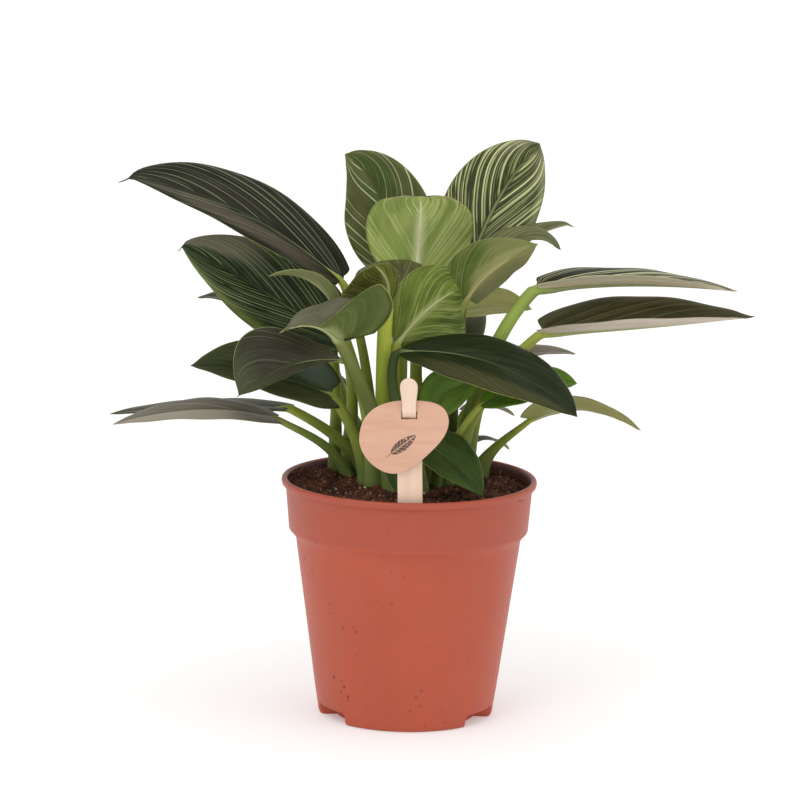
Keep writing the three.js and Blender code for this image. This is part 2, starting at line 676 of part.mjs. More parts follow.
// The stick seen from the side: behind the tag below its slot, in front of it above
function bentProfile() {
  const behind = STICK_BACK_Y;
  const ahead = TAG_Y - TAG_THICKNESS / 2 - STICK_THICKNESS / 2 - 0.4;
  const low = TAG_SLOT_Z - 3.5;
  const high = TAG_SLOT_Z + 3.5;
  const line = new THREE.Path();
  line.moveTo(behind, STICK_FOOT_Z - 1);
  line.lineTo(behind, low - 2);
  line.bezierCurveTo(behind, low + 2, ahead, high - 2, ahead, high + 2);
  line.lineTo(ahead, STICK_TOP_Z + 1);
  const spine = line.getPoints(8);
  const offset = spine.map((point, i) => {
    const before = spine[Math.max(i - 1, 0)];
    const after = spine[Math.min(i + 1, spine.length - 1)];
    const across = new THREE.Vector2(after.y - before.y, before.x - after.x).normalize();
    return across.multiplyScalar(STICK_THICKNESS / 2);
  });
  const right = spine.map((point, i) => point.clone().add(offset[i]));
  const left = spine.map((point, i) => point.clone().sub(offset[i])).reverse();
  const side = new THREE.Shape([...right, ...left]);
  const body = new THREE.ExtrudeGeometry(side, { depth: 30, bevelEnabled: false });
  body.rotateX(Math.PI / 2);
  body.rotateZ(Math.PI / 2);
  body.translate(STICK_X - 15, 0, 0);
  return body;
}

// The tag is a rounded pebble of thin board with a slot for the stick
function tagGeometry() {
  const pebble = new THREE.Shape();
  pebble.moveTo(-22, 143);
  pebble.bezierCurveTo(-21.5, 153, -15, 160, 0, 160.2);
  pebble.bezierCurveTo(8, 160.4, 14, 160, 17, 156);
  pebble.bezierCurveTo(21, 150, 17, 143, 12, 138);
  pebble.bezierCurveTo(6, 131.5, 0, 126.5, -6, 126.2);
  pebble.bezierCurveTo(-13, 126, -22.5, 134, -22, 143);
  const slot = new THREE.Path();
  const half = TAG_SLOT_WIDTH / 2;
  slot.moveTo(STICK_X - half, TAG_SLOT_Z - TAG_SLOT_HEIGHT / 2);
  slot.lineTo(STICK_X + half, TAG_SLOT_Z - TAG_SLOT_HEIGHT / 2);
  slot.lineTo(STICK_X + half, TAG_SLOT_Z + TAG_SLOT_HEIGHT / 2);
  slot.lineTo(STICK_X - half, TAG_SLOT_Z + TAG_SLOT_HEIGHT / 2);
  slot.closePath();
  pebble.holes.push(slot);
  const sheet = { depth: TAG_THICKNESS, bevelEnabled: false, curveSegments: 7 };
  const tag = new THREE.ExtrudeGeometry(pebble, sheet);
  tag.rotateX(Math.PI / 2);
  tag.translate(0, TAG_Y + TAG_THICKNESS / 2, 0);
  return tag;
}

// A named piece in its own material
function piece(name, geometry, colour, roughness) {
  const material = new THREE.MeshStandardMaterial({ color: colour, roughness, metalness: 0 });
  const mesh = new THREE.Mesh(geometry, material);
  mesh.name = name;
  return mesh;
}

const plant = new THREE.Group();
plant.add(piece("pot", potGeometry(), 0xb85a44, 0.5));
plant.add(piece("soil", soilGeometry(), 0x2b1d17, 0.95));
for (const leaf of LEAVES) {
  plant.add(piece(leaf.name, leafGeometry(leaf), 0x3f5230, 0.4));
}
plant.add(piece("label_stick", stickGeometry(), 0xecd2b8, 0.8));
plant.add(piece("label_tag", tagGeometry(), 0xe0b493, 0.8));

export default plant;
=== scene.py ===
# %% [markdown]
# # A potted birkin philodendron
# A birkin is a house plant with stiff oval leaves, dark green above with cream pinstripes that follow
# the side veins, and pale below. Each leaf stands on its own long stalk, and all the stalks rise from
# one clump in a thin plastic nursery pot. A wooden tag hangs on a stick in the soil.
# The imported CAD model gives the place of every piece. Here each piece gets its fine shape and finish.

import math

import bmesh
import bpy
from mathutils import Matrix, Vector, noise


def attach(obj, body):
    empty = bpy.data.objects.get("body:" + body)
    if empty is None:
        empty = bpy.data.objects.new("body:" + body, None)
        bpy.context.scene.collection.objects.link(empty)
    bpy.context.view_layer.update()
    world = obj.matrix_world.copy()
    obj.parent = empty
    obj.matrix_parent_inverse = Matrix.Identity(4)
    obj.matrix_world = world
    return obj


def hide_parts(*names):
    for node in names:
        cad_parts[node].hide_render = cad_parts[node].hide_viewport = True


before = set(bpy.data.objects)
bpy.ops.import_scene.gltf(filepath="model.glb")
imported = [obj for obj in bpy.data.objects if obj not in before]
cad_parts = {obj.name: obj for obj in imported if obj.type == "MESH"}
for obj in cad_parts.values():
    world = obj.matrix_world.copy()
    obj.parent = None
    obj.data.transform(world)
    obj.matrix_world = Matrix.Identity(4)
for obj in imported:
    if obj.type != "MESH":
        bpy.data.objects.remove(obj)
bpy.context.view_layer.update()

# %% [markdown]
# Blender works in metres, and the plant was measured in millimetres, so one factor turns one into the
# other. Colours are written as six hex digits, the way a paint chart gives them, and Blender's shaders
# want them as linear light. Every camera, lamp and mesh comes into the scene the same way.

# %% Units, colours and objects
MM = 0.001


def metres(millimetres):
    """A vector in metres from one in millimetres."""
    return Vector(millimetres) * MM


def paint(code):
    """Linear red, green, blue and alpha from six hex digits, by the sRGB curve."""
    parts = [int(code[i:i + 2], 16) / 255 for i in (0, 2, 4)]
    linear = [c / 12.92 if c <= 0.04045 else ((c + 0.055) / 1.055) ** 2.4 for c in parts]
    return (*linear, 1.0)


def add_object(name, data):
    """A new object in the scene that carries the data."""
    item = bpy.data.objects.new(name, data)
    bpy.context.scene.collection.objects.link(item)
    return item


print("mid grey is", round(paint("808080")[0], 3), "in linear light")

# %% [markdown]
# Both materials and Geometry Nodes are graphs of small nodes. Writing sums as graphs by hand is slow to
# read, so one small class wraps a socket and lets Python's own signs add the Math nodes. Every other
# node comes from one method, which takes the node's type, its settings and what goes into its sockets.
# The nodes that come back most often have short methods of their own.

# %% A wire that can do sums, and a graph that adds nodes
class Wire:
    """One output socket. Sums on it add Math or Vector Math nodes to its graph."""

    def __init__(self, graph, socket):
        self.graph = graph
        self.socket = socket

    def other(self, name):
        """Another output of the same node."""
        return Wire(self.graph, self.socket.node.outputs[name])

    def calc(self, operation, *values, out=0):
        """This socket and the values, joined by one operation."""
        return join_by(self.graph, operation, (self, *values), out)

    def after(self, operation, value):
        """The value first and this socket second, for the reflected signs."""
        return join_by(self.graph, operation, (value, self), 0)

    def __add__(self, value):
        return self.calc("ADD", value)

    def __sub__(self, value):
        return self.calc("SUBTRACT", value)

    def __mul__(self, value):
        return self.calc("MULTIPLY", value)

    def __truediv__(self, value):
        return self.calc("DIVIDE", value)

    def __pow__(self, value):
        return self.calc("POWER", value)

    def __radd__(self, value):
        return self.after("ADD", value)

    def __rsub__(self, value):
        return self.after("SUBTRACT", value)

    def __rmul__(self, value):
        return self.after("MULTIPLY", value)

    def __rtruediv__(self, value):
        return self.after("DIVIDE", value)

    def __abs__(self):
        return self.calc("ABSOLUTE")

    def __lt__(self, value):
        return self.calc("LESS_THAN", value)

    def __gt__(self, value):
        return self.calc("GREATER_THAN", value)

    def smooth(self, low, high, start=0.0, end=1.0):
        """Start below low, end above high, and a soft step between them."""
        values = {"Value": self, "From Min": low, "From Max": high, "To Min": start, "To Max": end}
        return self.graph.add("ShaderNodeMapRange", {"interpolation_type": "SMOOTHSTEP"}, values)

    def fall(self, low, high, end=0.0):
        """1 below low, end above high, and a soft step between them."""
        return self.smooth(low, high, 1.0, end)


def is_vector(value):
    """Whether a wire or a value is a vector."""
    if isinstance(value, Wire):
        return value.socket.type in ("VECTOR", "RGBA")
    return isinstance(value, (tuple, Vector))


def join_by(graph, operation, values, out):
    """One Math node, or one Vector Math node where a value is a vector."""
    kind = "ShaderNodeVectorMath" if any(map(is_vector, values)) else "ShaderNodeMath"
    return graph.add(kind, {"operation": operation}, dict(enumerate(values)), out)


class Graph:
    """A node tree that is being built."""

    def __init__(self, tree):
        self.tree = tree
        tree.nodes.clear()

    def add(self, kind, settings=None, values=None, out=0):
        """Adds a node: its settings first, then the numbers or wires of its sockets."""
        node = self.tree.nodes.new(kind)
        for name, value in (settings or {}).items():
            setattr(node, name, value)
        for name, value in (values or {}).items():
            socket = node.inputs[name]
            for item in value if isinstance(value, list) else [value]:
                if isinstance(item, Wire):
                    self.tree.links.new(item.socket, socket)
                elif socket.type == "VECTOR" and isinstance(item, (int, float)):
                    socket.default_value = (item, item, item)
                else:
                    socket.default_value = item
        return Wire(self, node.outputs[out]) if len(node.outputs) else None

    def split(self, vector):
        """The first number of a vector. The others are its other "Y" and "Z"."""
        return self.add("ShaderNodeSeparateXYZ", None, {0: vector})

    def join(self, x, y, z):
        """A vector from three numbers."""
        return self.add("ShaderNodeCombineXYZ", None, {0: x, 1: y, 2: z})

    def own_place(self):
        """Where a point lies on its object, in metres."""
        return self.add("ShaderNodeTexCoord", out="Object")

    def kept(self, name):
        """A number that the mesh keeps under a name, read in its material."""
        return self.add("ShaderNodeAttribute", {"attribute_name": name}, out="Fac")

    def noise(self, place, scale, detail=2, **more):
        """Soft noise between 0 and 1."""
        values = {"Vector": place, "Scale": scale, "Detail": detail, **more}
        return self.add("ShaderNodeTexNoise", None, values)

    def bump(self, height, strength, distance):
        """A normal that leans where the height rises or falls."""
        values = {"Strength": strength, "Distance": distance, "Height": height}
        return self.add("ShaderNodeBump", None, values)


def blend(graph, first, second, factor):
    """A colour between two colours, each a wire or six hex digits."""
    first, second = (paint(colour) if isinstance(colour, str) else colour for colour in (first, second))
    settings = {"data_type": "RGBA", "clamp_factor": True}
    return graph.add("ShaderNodeMix", settings, {0: factor, 6: first, 7: second}, out=2)


def layered(graph, colour, *layers):
    """A colour under other colours, each laid on through its own mask."""
    for other, mask in layers:
        colour = blend(graph, colour, other, mask)
    return colour


def new_material(name):
    """A material and the graph of its nodes."""
    material = bpy.data.materials.new(name)
    material.use_nodes = True
    return material, Graph(material.node_tree)


def surface(graph, values):
    """Ends a material with a Principled surface."""
    shader = graph.add("ShaderNodeBsdfPrincipled", None, values)
    graph.add("ShaderNodeOutputMaterial", None, {"Surface": shader})


print("Wire and Graph are ready")

# %% [markdown]
# The photograph was taken from about two metres away, with a long lens, from a little above the rim of
# the pot. A camera needs a place, a direction and a lens. Its rotation is built from three directions:
# the way it looks, the way its right hand points and its own up, turned by the small tilt of the photo.

# %% Camera
LOOK_AT = metres((-5, 0, 149.8))
CAMERA_DISTANCE = 1.99286
CAMERA_ELEVATION = math.radians(10.664)
CAMERA_ROLL = math.radians(1.0)
CAMERA_LENS = 191.52
SENSOR_WIDTH = 36
FAR_CLIP = 20

camera = add_object("photo_camera", bpy.data.cameras.new("photo_camera"))
away = Vector((0, -math.cos(CAMERA_ELEVATION), math.sin(CAMERA_ELEVATION)))
camera.location = LOOK_AT + away * CAMERA_DISTANCE
facing = away.to_track_quat("Z", "Y").to_matrix()
camera.rotation_euler = (facing @ Matrix.Rotation(CAMERA_ROLL, 3, "Z")).to_euler()
camera.data.sensor_width = SENSOR_WIDTH
camera.data.lens = CAMERA_LENS
camera.data.clip_end = FAR_CLIP
bpy.context.scene.camera = camera
print("camera stands at", [round(x, 3) for x in camera.location])

# %% [markdown]
# The photo has the even white light of a studio tent. A white world gives soft light from everywhere,
# a lamp above and in front models the leaves, and a weaker one from the side keeps the shadows open.
# The Standard view keeps the colours as they are mixed.

# %% Studio
WORLD_STRENGTH = 1.03
LAMP_SIZE = 0.8
FLOOR_REACH = 6
FLOOR_GLOW = 0.25

scene = bpy.context.scene
scene.view_settings.view_transform = "Standard"
world = bpy.data.worlds.new("studio")
world.use_nodes = True
scene.world = world
studio = Graph(world.node_tree)
glow = studio.add("ShaderNodeBackground", None, {"Color": paint("FFFFFF"), "Strength": WORLD_STRENGTH})
studio.add("ShaderNodeOutputWorld", None, {"Surface": glow})


def softbox(name, place, power):
    """A square lamp that points at the middle of the plant."""
    lamp = add_object(name, bpy.data.lights.new(name, "AREA"))
    lamp.data.size = LAMP_SIZE
    lamp.data.energy = power
    lamp.location = place
    lamp.rotation_euler = (Vector(place) - LOOK_AT).to_track_quat("Z", "Y").to_euler()


softbox("key_light", (-0.7, -1.3, 1.7), power=7)
softbox("side_light", (1.5, -0.6, 0.9), power=1.5)

floor_mesh = bpy.data.meshes.new("floor")
floor_corners = [(x * FLOOR_REACH, y * FLOOR_REACH, 0) for x, y in ((-1, -1), (1, -1), (1, 1), (-1, 1))]
floor_mesh.from_pydata(floor_corners, [], [(0, 1, 2, 3)])
floor = add_object("floor", floor_mesh)
floor_material, floor_graph = new_material("floor_paper")
surface(floor_graph, {"Base Color": paint("E4E4E4"), "Roughness": 0.9, "Specular IOR Level": 0.1,
                      "Emission Color": paint("FFFFFF"), "Emission Strength": FLOOR_GLOW})
floor_mesh.materials.append(floor_material)

# %% [markdown]
# Pieces made by Geometry Nodes all go the same way: a tree with named inputs sits on an object as a
# modifier, the inputs are set by the socket's identifier, and the evaluated result becomes a plain
# mesh. Attributes that the tree stores, such as how far along the leaf a point lies, stay on the mesh
# for the materials to read. The pot, the soil bed and the stick are built ring by ring instead, and
# one helper joins their rings with faces.

# %% Helpers for meshes and Geometry Nodes
SOCKETS = {"vector": "NodeSocketVector", "number": "NodeSocketFloat", "whole": "NodeSocketInt",
           "material": "NodeSocketMaterial", "mesh": "NodeSocketGeometry"}


def new_tree(name, inputs):
    """A tree with these inputs, its graph and a wire from each input."""
    tree = bpy.data.node_groups.new(name, "GeometryNodeTree")
    graph = Graph(tree)
    for title, kind in inputs.items():
        tree.interface.new_socket(title, in_out="INPUT", socket_type=SOCKETS[kind])
    tree.interface.new_socket("Geometry", in_out="OUTPUT", socket_type=SOCKETS["mesh"])
    entry = graph.add("NodeGroupInput")
    return graph, {title: entry.other(title) for title in inputs}


def close_tree(graph, parts, material):
    """Ends a tree: its parts joined, real and smooth, in their material."""
    joined = graph.add("GeometryNodeJoinGeometry", None, {0: parts})
    real = graph.add("GeometryNodeRealizeInstances", None, {"Geometry": joined})
    soft = graph.add("GeometryNodeSetShadeSmooth", None, {"Geometry": real})
    dressed = graph.add("GeometryNodeSetMaterial", None, {"Geometry": soft, "Material": material})
    graph.add("NodeGroupOutput", None, {0: dressed})
    return graph.tree


def store(graph, geometry, name, value, domain="POINT"):
    """Keeps a number on every point, face or instance under a name."""
    settings = {"data_type": "FLOAT", "domain": domain}
    return graph.add("GeometryNodeStoreNamedAttribute", settings,
                     {"Geometry": geometry, "Name": name, "Value": value})


def stored(graph, name):
    """Reads a kept number back in the same tree."""
    return graph.add("GeometryNodeInputNamedAttribute", {"data_type": "FLOAT"}, {"Name": name})


def evaluated_mesh(piece, keep_all=False):
    """A plain mesh of a piece as its modifiers leave it."""
    graph = bpy.context.evaluated_depsgraph_get()
    return bpy.data.meshes.new_from_object(
        piece.evaluated_get(graph), preserve_all_data_layers=keep_all, depsgraph=graph)


def grow(name, tree, values, start=None):
    """Runs a tree on a start mesh, or on nothing, and leaves its result as a plain mesh."""
    piece = add_object(name, start or bpy.data.meshes.new(name))
    modifier = piece.modifiers.new("grow", "NODES")
    modifier.node_group = tree
    for item in tree.interface.items_tree:
        if item.in_out == "INPUT" and item.name in values:
            modifier[item.identifier] = values[item.name]
    mesh = evaluated_mesh(piece, keep_all=True)
    piece.modifiers.clear()
    piece.data = mesh
    mesh.name = name
    return piece


def skin(shell, rings, steps):
    """Joins each ring to the next with faces. A ring may be a single point."""
    for low, high in zip(rings, rings[1:]):
        for step in range(steps):
            after = (step + 1) % steps
            corners = [low[step % len(low)], low[after % len(low)],
                       high[after % len(high)], high[step % len(high)]]
            shell.faces.new(list(dict.fromkeys(corners)))


def closed_mesh(shell, name):
    """A mesh from a finished shell, with all its faces turned outward."""
    bmesh.ops.recalc_face_normals(shell, faces=shell.faces)
    mesh = bpy.data.meshes.new(name)
    shell.to_mesh(mesh)
    shell.free()
    return mesh


def finish_piece(piece, slot, *nodes):
    """The piece stands for CAD nodes, which it hides, and rides on the body. Its slot is not used."""
    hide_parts(*nodes)
    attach(piece, "root")


def dress(piece, material):
    """Gives a piece one material and no other."""
    piece.data.materials.clear()
    piece.data.materials.append(material)


print("helpers are ready")

# %% [markdown]
# The pot is a thin moulding: a tapered body, a deeper band below a rolled rim, and three pockets at the
# foot that let water out. A lathe gives the round form, and the pockets are where its radius steps in.
# The step is a soft one in angle and in height, so the pockets' edges come out rounded, as moulded
# plastic is.

# %% Pot shape
BASE_RADIUS = 41.2
WALL = 1.3
POT_FLOOR = 1.6
POCKETS = (60, 180, 300)
POCKET_SPAN = 31
POCKET_DEPTH = 8.0
POCKET_HEIGHT = 5.5
POCKET_SIDE_EDGE = 1.2
POCKET_TOP_EDGE = 0.5
INNER_SPAN_PER_MM = 1.4
TURNS = 288
DRAIN_HOLES = 5
DRAIN_RING = 20 * MM
DRAIN_RADIUS = 2 * MM
PIN_DEPTH = 8 * MM

FOOT = [
    (-9, 0.0), (-4, 0.0), (-1.8, 0.0), (-0.6, 0.35), (0, 1.2), (0.2, 2.4), (0.35, 3.6), (0.5, 4.6),
    (0.55, 5.0), (0.6, 5.3), (0.65, 5.6), (0.7, 5.9), (0.75, 6.2), (0.9, 7.2),
]
OUTSIDE = [(0.0, 0.0)] + [(BASE_RADIUS + out, z) for out, z in FOOT] + [
    (43.0, 13.0), (45.9, 34.0), (49.1, 57.0), (52.2, 79.0), (52.85, 84.0), (53.2, 85.0), (54.3, 86.6),
    (55.4, 87.8), (56.0, 88.4), (56.25, 89.1), (56.35, 90.2), (57.1, 99.0), (57.8, 107.0),
    (57.9, 108.6), (58.2, 109.1), (59.2, 109.5), (59.8, 110.2), (60.0, 111.2), (59.9, 112.2),
    (59.5, 112.8), (58.9, 113.0), (58.0, 112.95), (57.4, 112.5), (57.0, 111.6), (56.8, 110.4),
]
INSIDE = [(56.5, 107.0), (55.7, 99.0), (54.9, 89.0), (51.6, 85.0), (50.6, 77.0), (47.6, 56.0),
          (41.9, 14.0), (41.0, 7.6), (40.3, 6.6), (40.0, 3.6), (38.4, 1.8), (36.0, POT_FLOOR),
          (20.0, POT_FLOOR), (0.0, POT_FLOOR)]


def soft_step(x, low, high):
    """0 below low, 1 above high, and a smooth rise between."""
    t = min(max((x - low) / (high - low), 0.0), 1.0)
    return t * t * (3 - 2 * t)


def pocket_depth(angle, z, margin):
    """How far the foot steps in at an angle in degrees from the front and at a height."""
    half = POCKET_SPAN / 2 + margin * INNER_SPAN_PER_MM
    top = POCKET_HEIGHT + margin
    nearest = min(abs((angle - centre + 180) % 360 - 180) for centre in POCKETS)
    across = 1 - soft_step(nearest, half - POCKET_SIDE_EDGE, half + POCKET_SIDE_EDGE)
    upward = 1 - soft_step(z, top - POCKET_TOP_EDGE, top + POCKET_TOP_EDGE)
    return (POCKET_DEPTH + margin) * across * upward


def pot_ring(radius, z, margin):
    """The corners of one ring of the pot, or the one point where the ring has no radius."""
    if radius == 0.0:
        return [(0, 0, z * MM)]
    limit = BASE_RADIUS - POCKET_DEPTH - margin
    ring = []
    for turn in range(TURNS):
        degrees = 360 * turn / TURNS
        stepped = radius - pocket_depth(degrees, z, margin)
        actual = min(radius, max(stepped, limit)) if radius > limit else radius
        angle = math.radians(degrees)
        ring.append((actual * math.sin(angle) * MM, -actual * math.cos(angle) * MM, z * MM))
    return ring


def pot_mesh():
    """One closed skin, from the middle of the base, over the rim, to the middle of the floor."""
    shell = bmesh.new()
    profile = [(*spot, 0.0) for spot in OUTSIDE] + [(*spot, WALL) for spot in INSIDE]
    rings = [[shell.verts.new(corner) for corner in pot_ring(*spot)] for spot in profile]
    skin(shell, rings, TURNS)
    return closed_mesh(shell, "nursery_pot")


def drain_pins():
    """Round pins where the floor has its drain holes."""
    pins = bmesh.new()
    for index in range(DRAIN_HOLES):
        angle = (index + 0.5) * 2 * math.pi / DRAIN_HOLES
        place = Matrix.Translation((DRAIN_RING * math.sin(angle), -DRAIN_RING * math.cos(angle), 0))
        bmesh.ops.create_cone(pins, cap_ends=True, segments=20, radius1=DRAIN_RADIUS,
                              radius2=DRAIN_RADIUS, depth=PIN_DEPTH, matrix=place)
    return closed_mesh(pins, "drain_pins")


def drill(piece, name, cutters):
    """Cuts closed meshes out of a piece and keeps the result."""
    tool = add_object(name, cutters)
    modifier = piece.modifiers.new("drill", "BOOLEAN")
    modifier.object = tool
    modifier.operation = "DIFFERENCE"
    modifier.solver = "EXACT"
    piece.data = evaluated_mesh(piece)
    piece.modifiers.clear()
    bpy.data.objects.remove(tool)


pot = add_object("nursery_pot", pot_mesh())
drill(pot, "drain_pins", drain_pins())
pot.data.shade_smooth()
print("pot has", len(pot.data.polygons), "faces")

# %% [markdown]
# The plastic is a plain terracotta colour, a little uneven, with a satin gloss. Handling leaves small
# dark specks of peat and thin scratches, most of them low on the left. The inner wall above the soil gets
# painted shade, a dark brown-red. All of it is mixed from noise on the object's own coordinates.

# %% Pot finish
BAND_LINE = (0.0885, 0.0905)
# Heights where the painted shade on the inner wall above the soil rises and ends.
INNER_SHADE_RISES = (0.085, 0.1)
INNER_SHADE_ENDS = (0.1115, 0.1135)

pot_material, g = new_material("terracotta_plastic")
place = g.own_place()
xyz = g.split(place)
height = xyz.other("Z")
clouds = g.noise(place, 22, 3)
streaks = g.noise(place * (1, 1, 0.12), 160)
flat_normal = g.add("ShaderNodeNewGeometry", out="Normal") * (1, 1, 0)
outward = flat_normal.calc("DOT_PRODUCT", place, out="Value")
# Painted shade: the inner wall between the soil and the rim is darkened, as if in shadow inside the pot.
inner_shade = outward.fall(-0.02, 0.0) * height.smooth(*INNER_SHADE_RISES) * height.fall(*INNER_SHADE_ENDS)
left_low = xyz.fall(-0.05, 0.03, 0.25) * height.fall(0.02, 0.1, 0.35)
specks = g.add("ShaderNodeTexVoronoi", {"feature": "F1"}, {"Vector": place, "Scale": 210, "Randomness": 1})
speck = (1 - specks.smooth(0.08, 0.26)) * g.noise(place, 60, 1).smooth(0.5, 0.6) * left_low
crooked = place * (1, 1, 3) + g.noise(place, 35).other("Color") * 0.012
scratches = g.add("ShaderNodeTexVoronoi", {"feature": "DISTANCE_TO_EDGE"}, {"Vector": crooked, "Scale": 26})
scratch = (1 - scratches.smooth(0.0, 0.012)) * g.noise(place, 48).smooth(0.6, 0.68) * left_low
# The dark brown-red layer is the painted shade of the inner wall; the specks and scratches are real marks.
plastic = layered(
    g, "A9462A", ("AF4A2D", clouds.smooth(0.3, 0.7)), ("A84C36", streaks.smooth(0.45, 0.75) * 0.5),
    ("A1452F", height.smooth(*BAND_LINE) * 0.75), ("54231A", inner_shade * 0.92), ("5E281D", speck * 0.95),
    ("8A3F31", scratch * 0.5))
bump = g.bump(g.noise(place, 900) + streaks * 0.8, 0.12, 0.0004)
surface(g, {"Base Color": plastic, "Roughness": 0.42 + clouds * 0.12 + speck * 0.3, "Normal": bump})
dress(pot, pot_material)
finish_piece(pot, "pot", "pot")
print("pot finish has", len(pot_material.node_tree.nodes), "nodes")

# %% [markdown]
# Peat looks rough at every size: a slightly humped bed, crumbs up to a few millimetres, thin fibres and
# some pale bits. The bed is a disc of rings pushed up and down by waves and noise, with one soft heap
# on the left, and a short side and a flat underside that stay hidden in the pot.

# %% Soil bed
SOIL_EDGE_Z = 107.5
SOIL_MOUND = 2.5
SOIL_RADIUS = 56.3
MOUND_RADIUS = 58
SOIL_RINGS = 56
SOIL_SPOKES = 160
SOIL_WALL = [(0.975, 100.0), (0.94, 90.5), (0.9, 84.0)]
HEAP = (-50.0, 12.0)
HEAP_HEIGHT = 4.6
HEAP_SPREAD = 320
LUMPS = ((1.3, 5, 3.1), (0.9, 2, 7.7))


def soil_height(x, y):
    """Height of the bed in millimetres at a place in millimetres."""
    outward = math.hypot(x, y) / MOUND_RADIUS
    coarse = math.sin(0.21 * x + 1.3) * math.cos(0.17 * y - 0.4)
    fine = math.sin(0.53 * x - 0.37 * y + 2.1) + math.cos(0.41 * x + 0.61 * y)
    hump = 0.35 * coarse + 0.18 * fine
    lumps = sum(high * noise.noise(Vector((x / wide, y / wide, seed))) for high, wide, seed in LUMPS)
    heap = HEAP_HEIGHT * math.exp(-((x - HEAP[0]) ** 2 + (y - HEAP[1]) ** 2) / HEAP_SPREAD)
    return SOIL_EDGE_Z + SOIL_MOUND * (1 - outward * outward) + hump + lumps + heap


def soil_bed():
    """A closed plug of soil: a lumpy top, a side down the wall and a flat underside."""
    bed = bmesh.new()
    levels = [[bed.verts.new((0, 0, soil_height(0, 0) * MM))]]
    for ring in range(1, SOIL_RINGS + 1):
        level = []
        for spoke in range(SOIL_SPOKES):
            angle = 2 * math.pi * spoke / SOIL_SPOKES
            x = SOIL_RADIUS * ring / SOIL_RINGS * math.cos(angle)
            y = SOIL_RADIUS * ring / SOIL_RINGS * math.sin(angle)
            level.append(bed.verts.new((x * MM, y * MM, soil_height(x, y) * MM)))
        levels.append(level)
    rim = levels[-1]
    for share, z in SOIL_WALL:
        levels.append([bed.verts.new((v.co.x * share, v.co.y * share, z * MM)) for v in rim])
    levels.append([bed.verts.new((0, 0, z * MM))])
    skin(bed, levels, SOIL_SPOKES)
    return closed_mesh(bed, "soil_bed")


soil_mesh = soil_bed()
print("soil bed has", len(soil_mesh.polygons), "faces")

# %% [markdown]
# Peat is nearly black where it is damp and brown where it has dried, with bits of bark and root in
# between. One noise sets the patches, a finer one the grain, and each crumb carries a random number
# that makes a few of them tan or whitish.

# %% Soil finish
soil_material, g = new_material("peat")
place = g.own_place()
patches = g.noise(place, 90, 4, Roughness=0.65)
grains = g.noise(place, 700, 3)
shade = g.kept("shade")
peat = layered(
    g, "2D1913", ("623A2D", patches.smooth(0.35, 0.7)), ("6F4838", grains.smooth(0.5, 0.75) * 0.6),
    ("78543E", shade.smooth(0.72, 0.8)), ("8C6A4E", shade.smooth(0.93, 0.96)),
    ("C9B9A6", shade.smooth(0.988, 0.994)))
bump = g.bump(grains + patches, 0.7, 0.001)
surface(g, {"Base Color": peat, "Roughness": 0.95, "Specular IOR Level": 0.2, "Normal": bump})
print("soil finish has", len(soil_material.node_tree.nodes), "nodes")

# %% [markdown]
# Geometry Nodes scatter crumbs over the bed, stretched, turned and sized at random from a fixed seed,
# and then fibres in the same way. Only faces that look upward get any. Instances keep this light until
# the end, when they are made real.

# %% Crumbs and fibres on the soil
BED_SHADE = 0.3
FACES_UP = 0.35
ANY_TURN = (6.28, 6.28, 6.28)
SMALLEST = 0.35
STRETCH = 1.25


def chance(graph, seed):
    """A random number between 0 and 1 for each point."""
    values = {2: 0.0, 3: 1.0, "Seed": seed}
    return graph.add("FunctionNodeRandomValue", {"data_type": "FLOAT"}, values, out=1)


def soil_tree():
    """The bed with crumbs and fibres scattered on its top."""
    graph, given = new_tree("Peat", {"Bed": "mesh", "Crumbs": "number", "Fibres": "number",
                                     "Crumb size": "number", "Seed": "whole", "Material": "material"})
    upward = graph.split(graph.add("GeometryNodeInputNormal")).other("Z") > FACES_UP
    parts = [store(graph, given["Bed"], "shade", BED_SHADE)]
    crumb = graph.add("GeometryNodeMeshIcoSphere", None, {"Radius": 1.0, "Subdivisions": 1})
    strand = graph.add("GeometryNodeMeshCylinder", None, {"Vertices": 5, "Radius": 0.12, "Depth": 7.0})
    kinds = ((crumb, given["Crumbs"], 3, 0.75), (strand, given["Fibres"], 11, 1.0))
    for kind, density, seed, flat in kinds:
        points = graph.add("GeometryNodeDistributePointsOnFaces", None, {
            "Mesh": given["Bed"], "Selection": upward, "Density": density, "Seed": given["Seed"] + seed})
        turn = graph.add("FunctionNodeRandomValue", {"data_type": "FLOAT_VECTOR"}, {
            "Min": (0, 0, 0), "Max": ANY_TURN, "Seed": seed + 1})
        size = (SMALLEST + chance(graph, seed + 2) ** 3.0) * given["Crumb size"]
        laid = graph.add("GeometryNodeInstanceOnPoints", None, {
            "Points": points, "Instance": kind, "Rotation": turn,
            "Scale": graph.join(size * STRETCH, size, size * flat)})
        parts.append(store(graph, laid, "shade", chance(graph, seed + 5), "INSTANCE"))
    return close_tree(graph, parts, given["Material"])


soil = grow("peat_soil", soil_tree(), {"Crumbs": 330000.0, "Fibres": 26000.0, "Crumb size": 0.85 * MM,
                                       "Seed": 4, "Material": soil_material}, soil_mesh)
finish_piece(soil, "soil", "soil")
print("soil has", len(soil.data.polygons), "faces")

# %% [markdown]
# Every leaf is one blade that runs down into one stalk. The blade follows a rule: a midrib curve from
# base to tip, an outline that swells and tapers along it, two halves that fold up from it, and two lobes
# at the base that sweep back. The stalk is a second curve out of the soil. The table below gives each
# leaf's own numbers in millimetres and degrees, and the name of its finish. They started as the numbers
# of its CAD solid, and many were then fitted closer to the photograph. Anything a leaf leaves out it
# takes from the plain leaf.

# %% The leaves
STALK_START_Z = 112.5

PLAIN_LEAF = {
    "fold": ((12, 12), (12, 12), (12, 12)), "turn": (0, 0.5), "share": (1, 1), "lobe": 0.3,
    "shape": (0.52, 0.86), "stalk": (1.9, 3.6), "sway": ((0, 0, 0), (0, 0, 0)), "fade": (1, 1),
    "tail": 0.01, "hook": (0, 0, 0), "sheath": 0.35, "finish": "plain_dark",
}

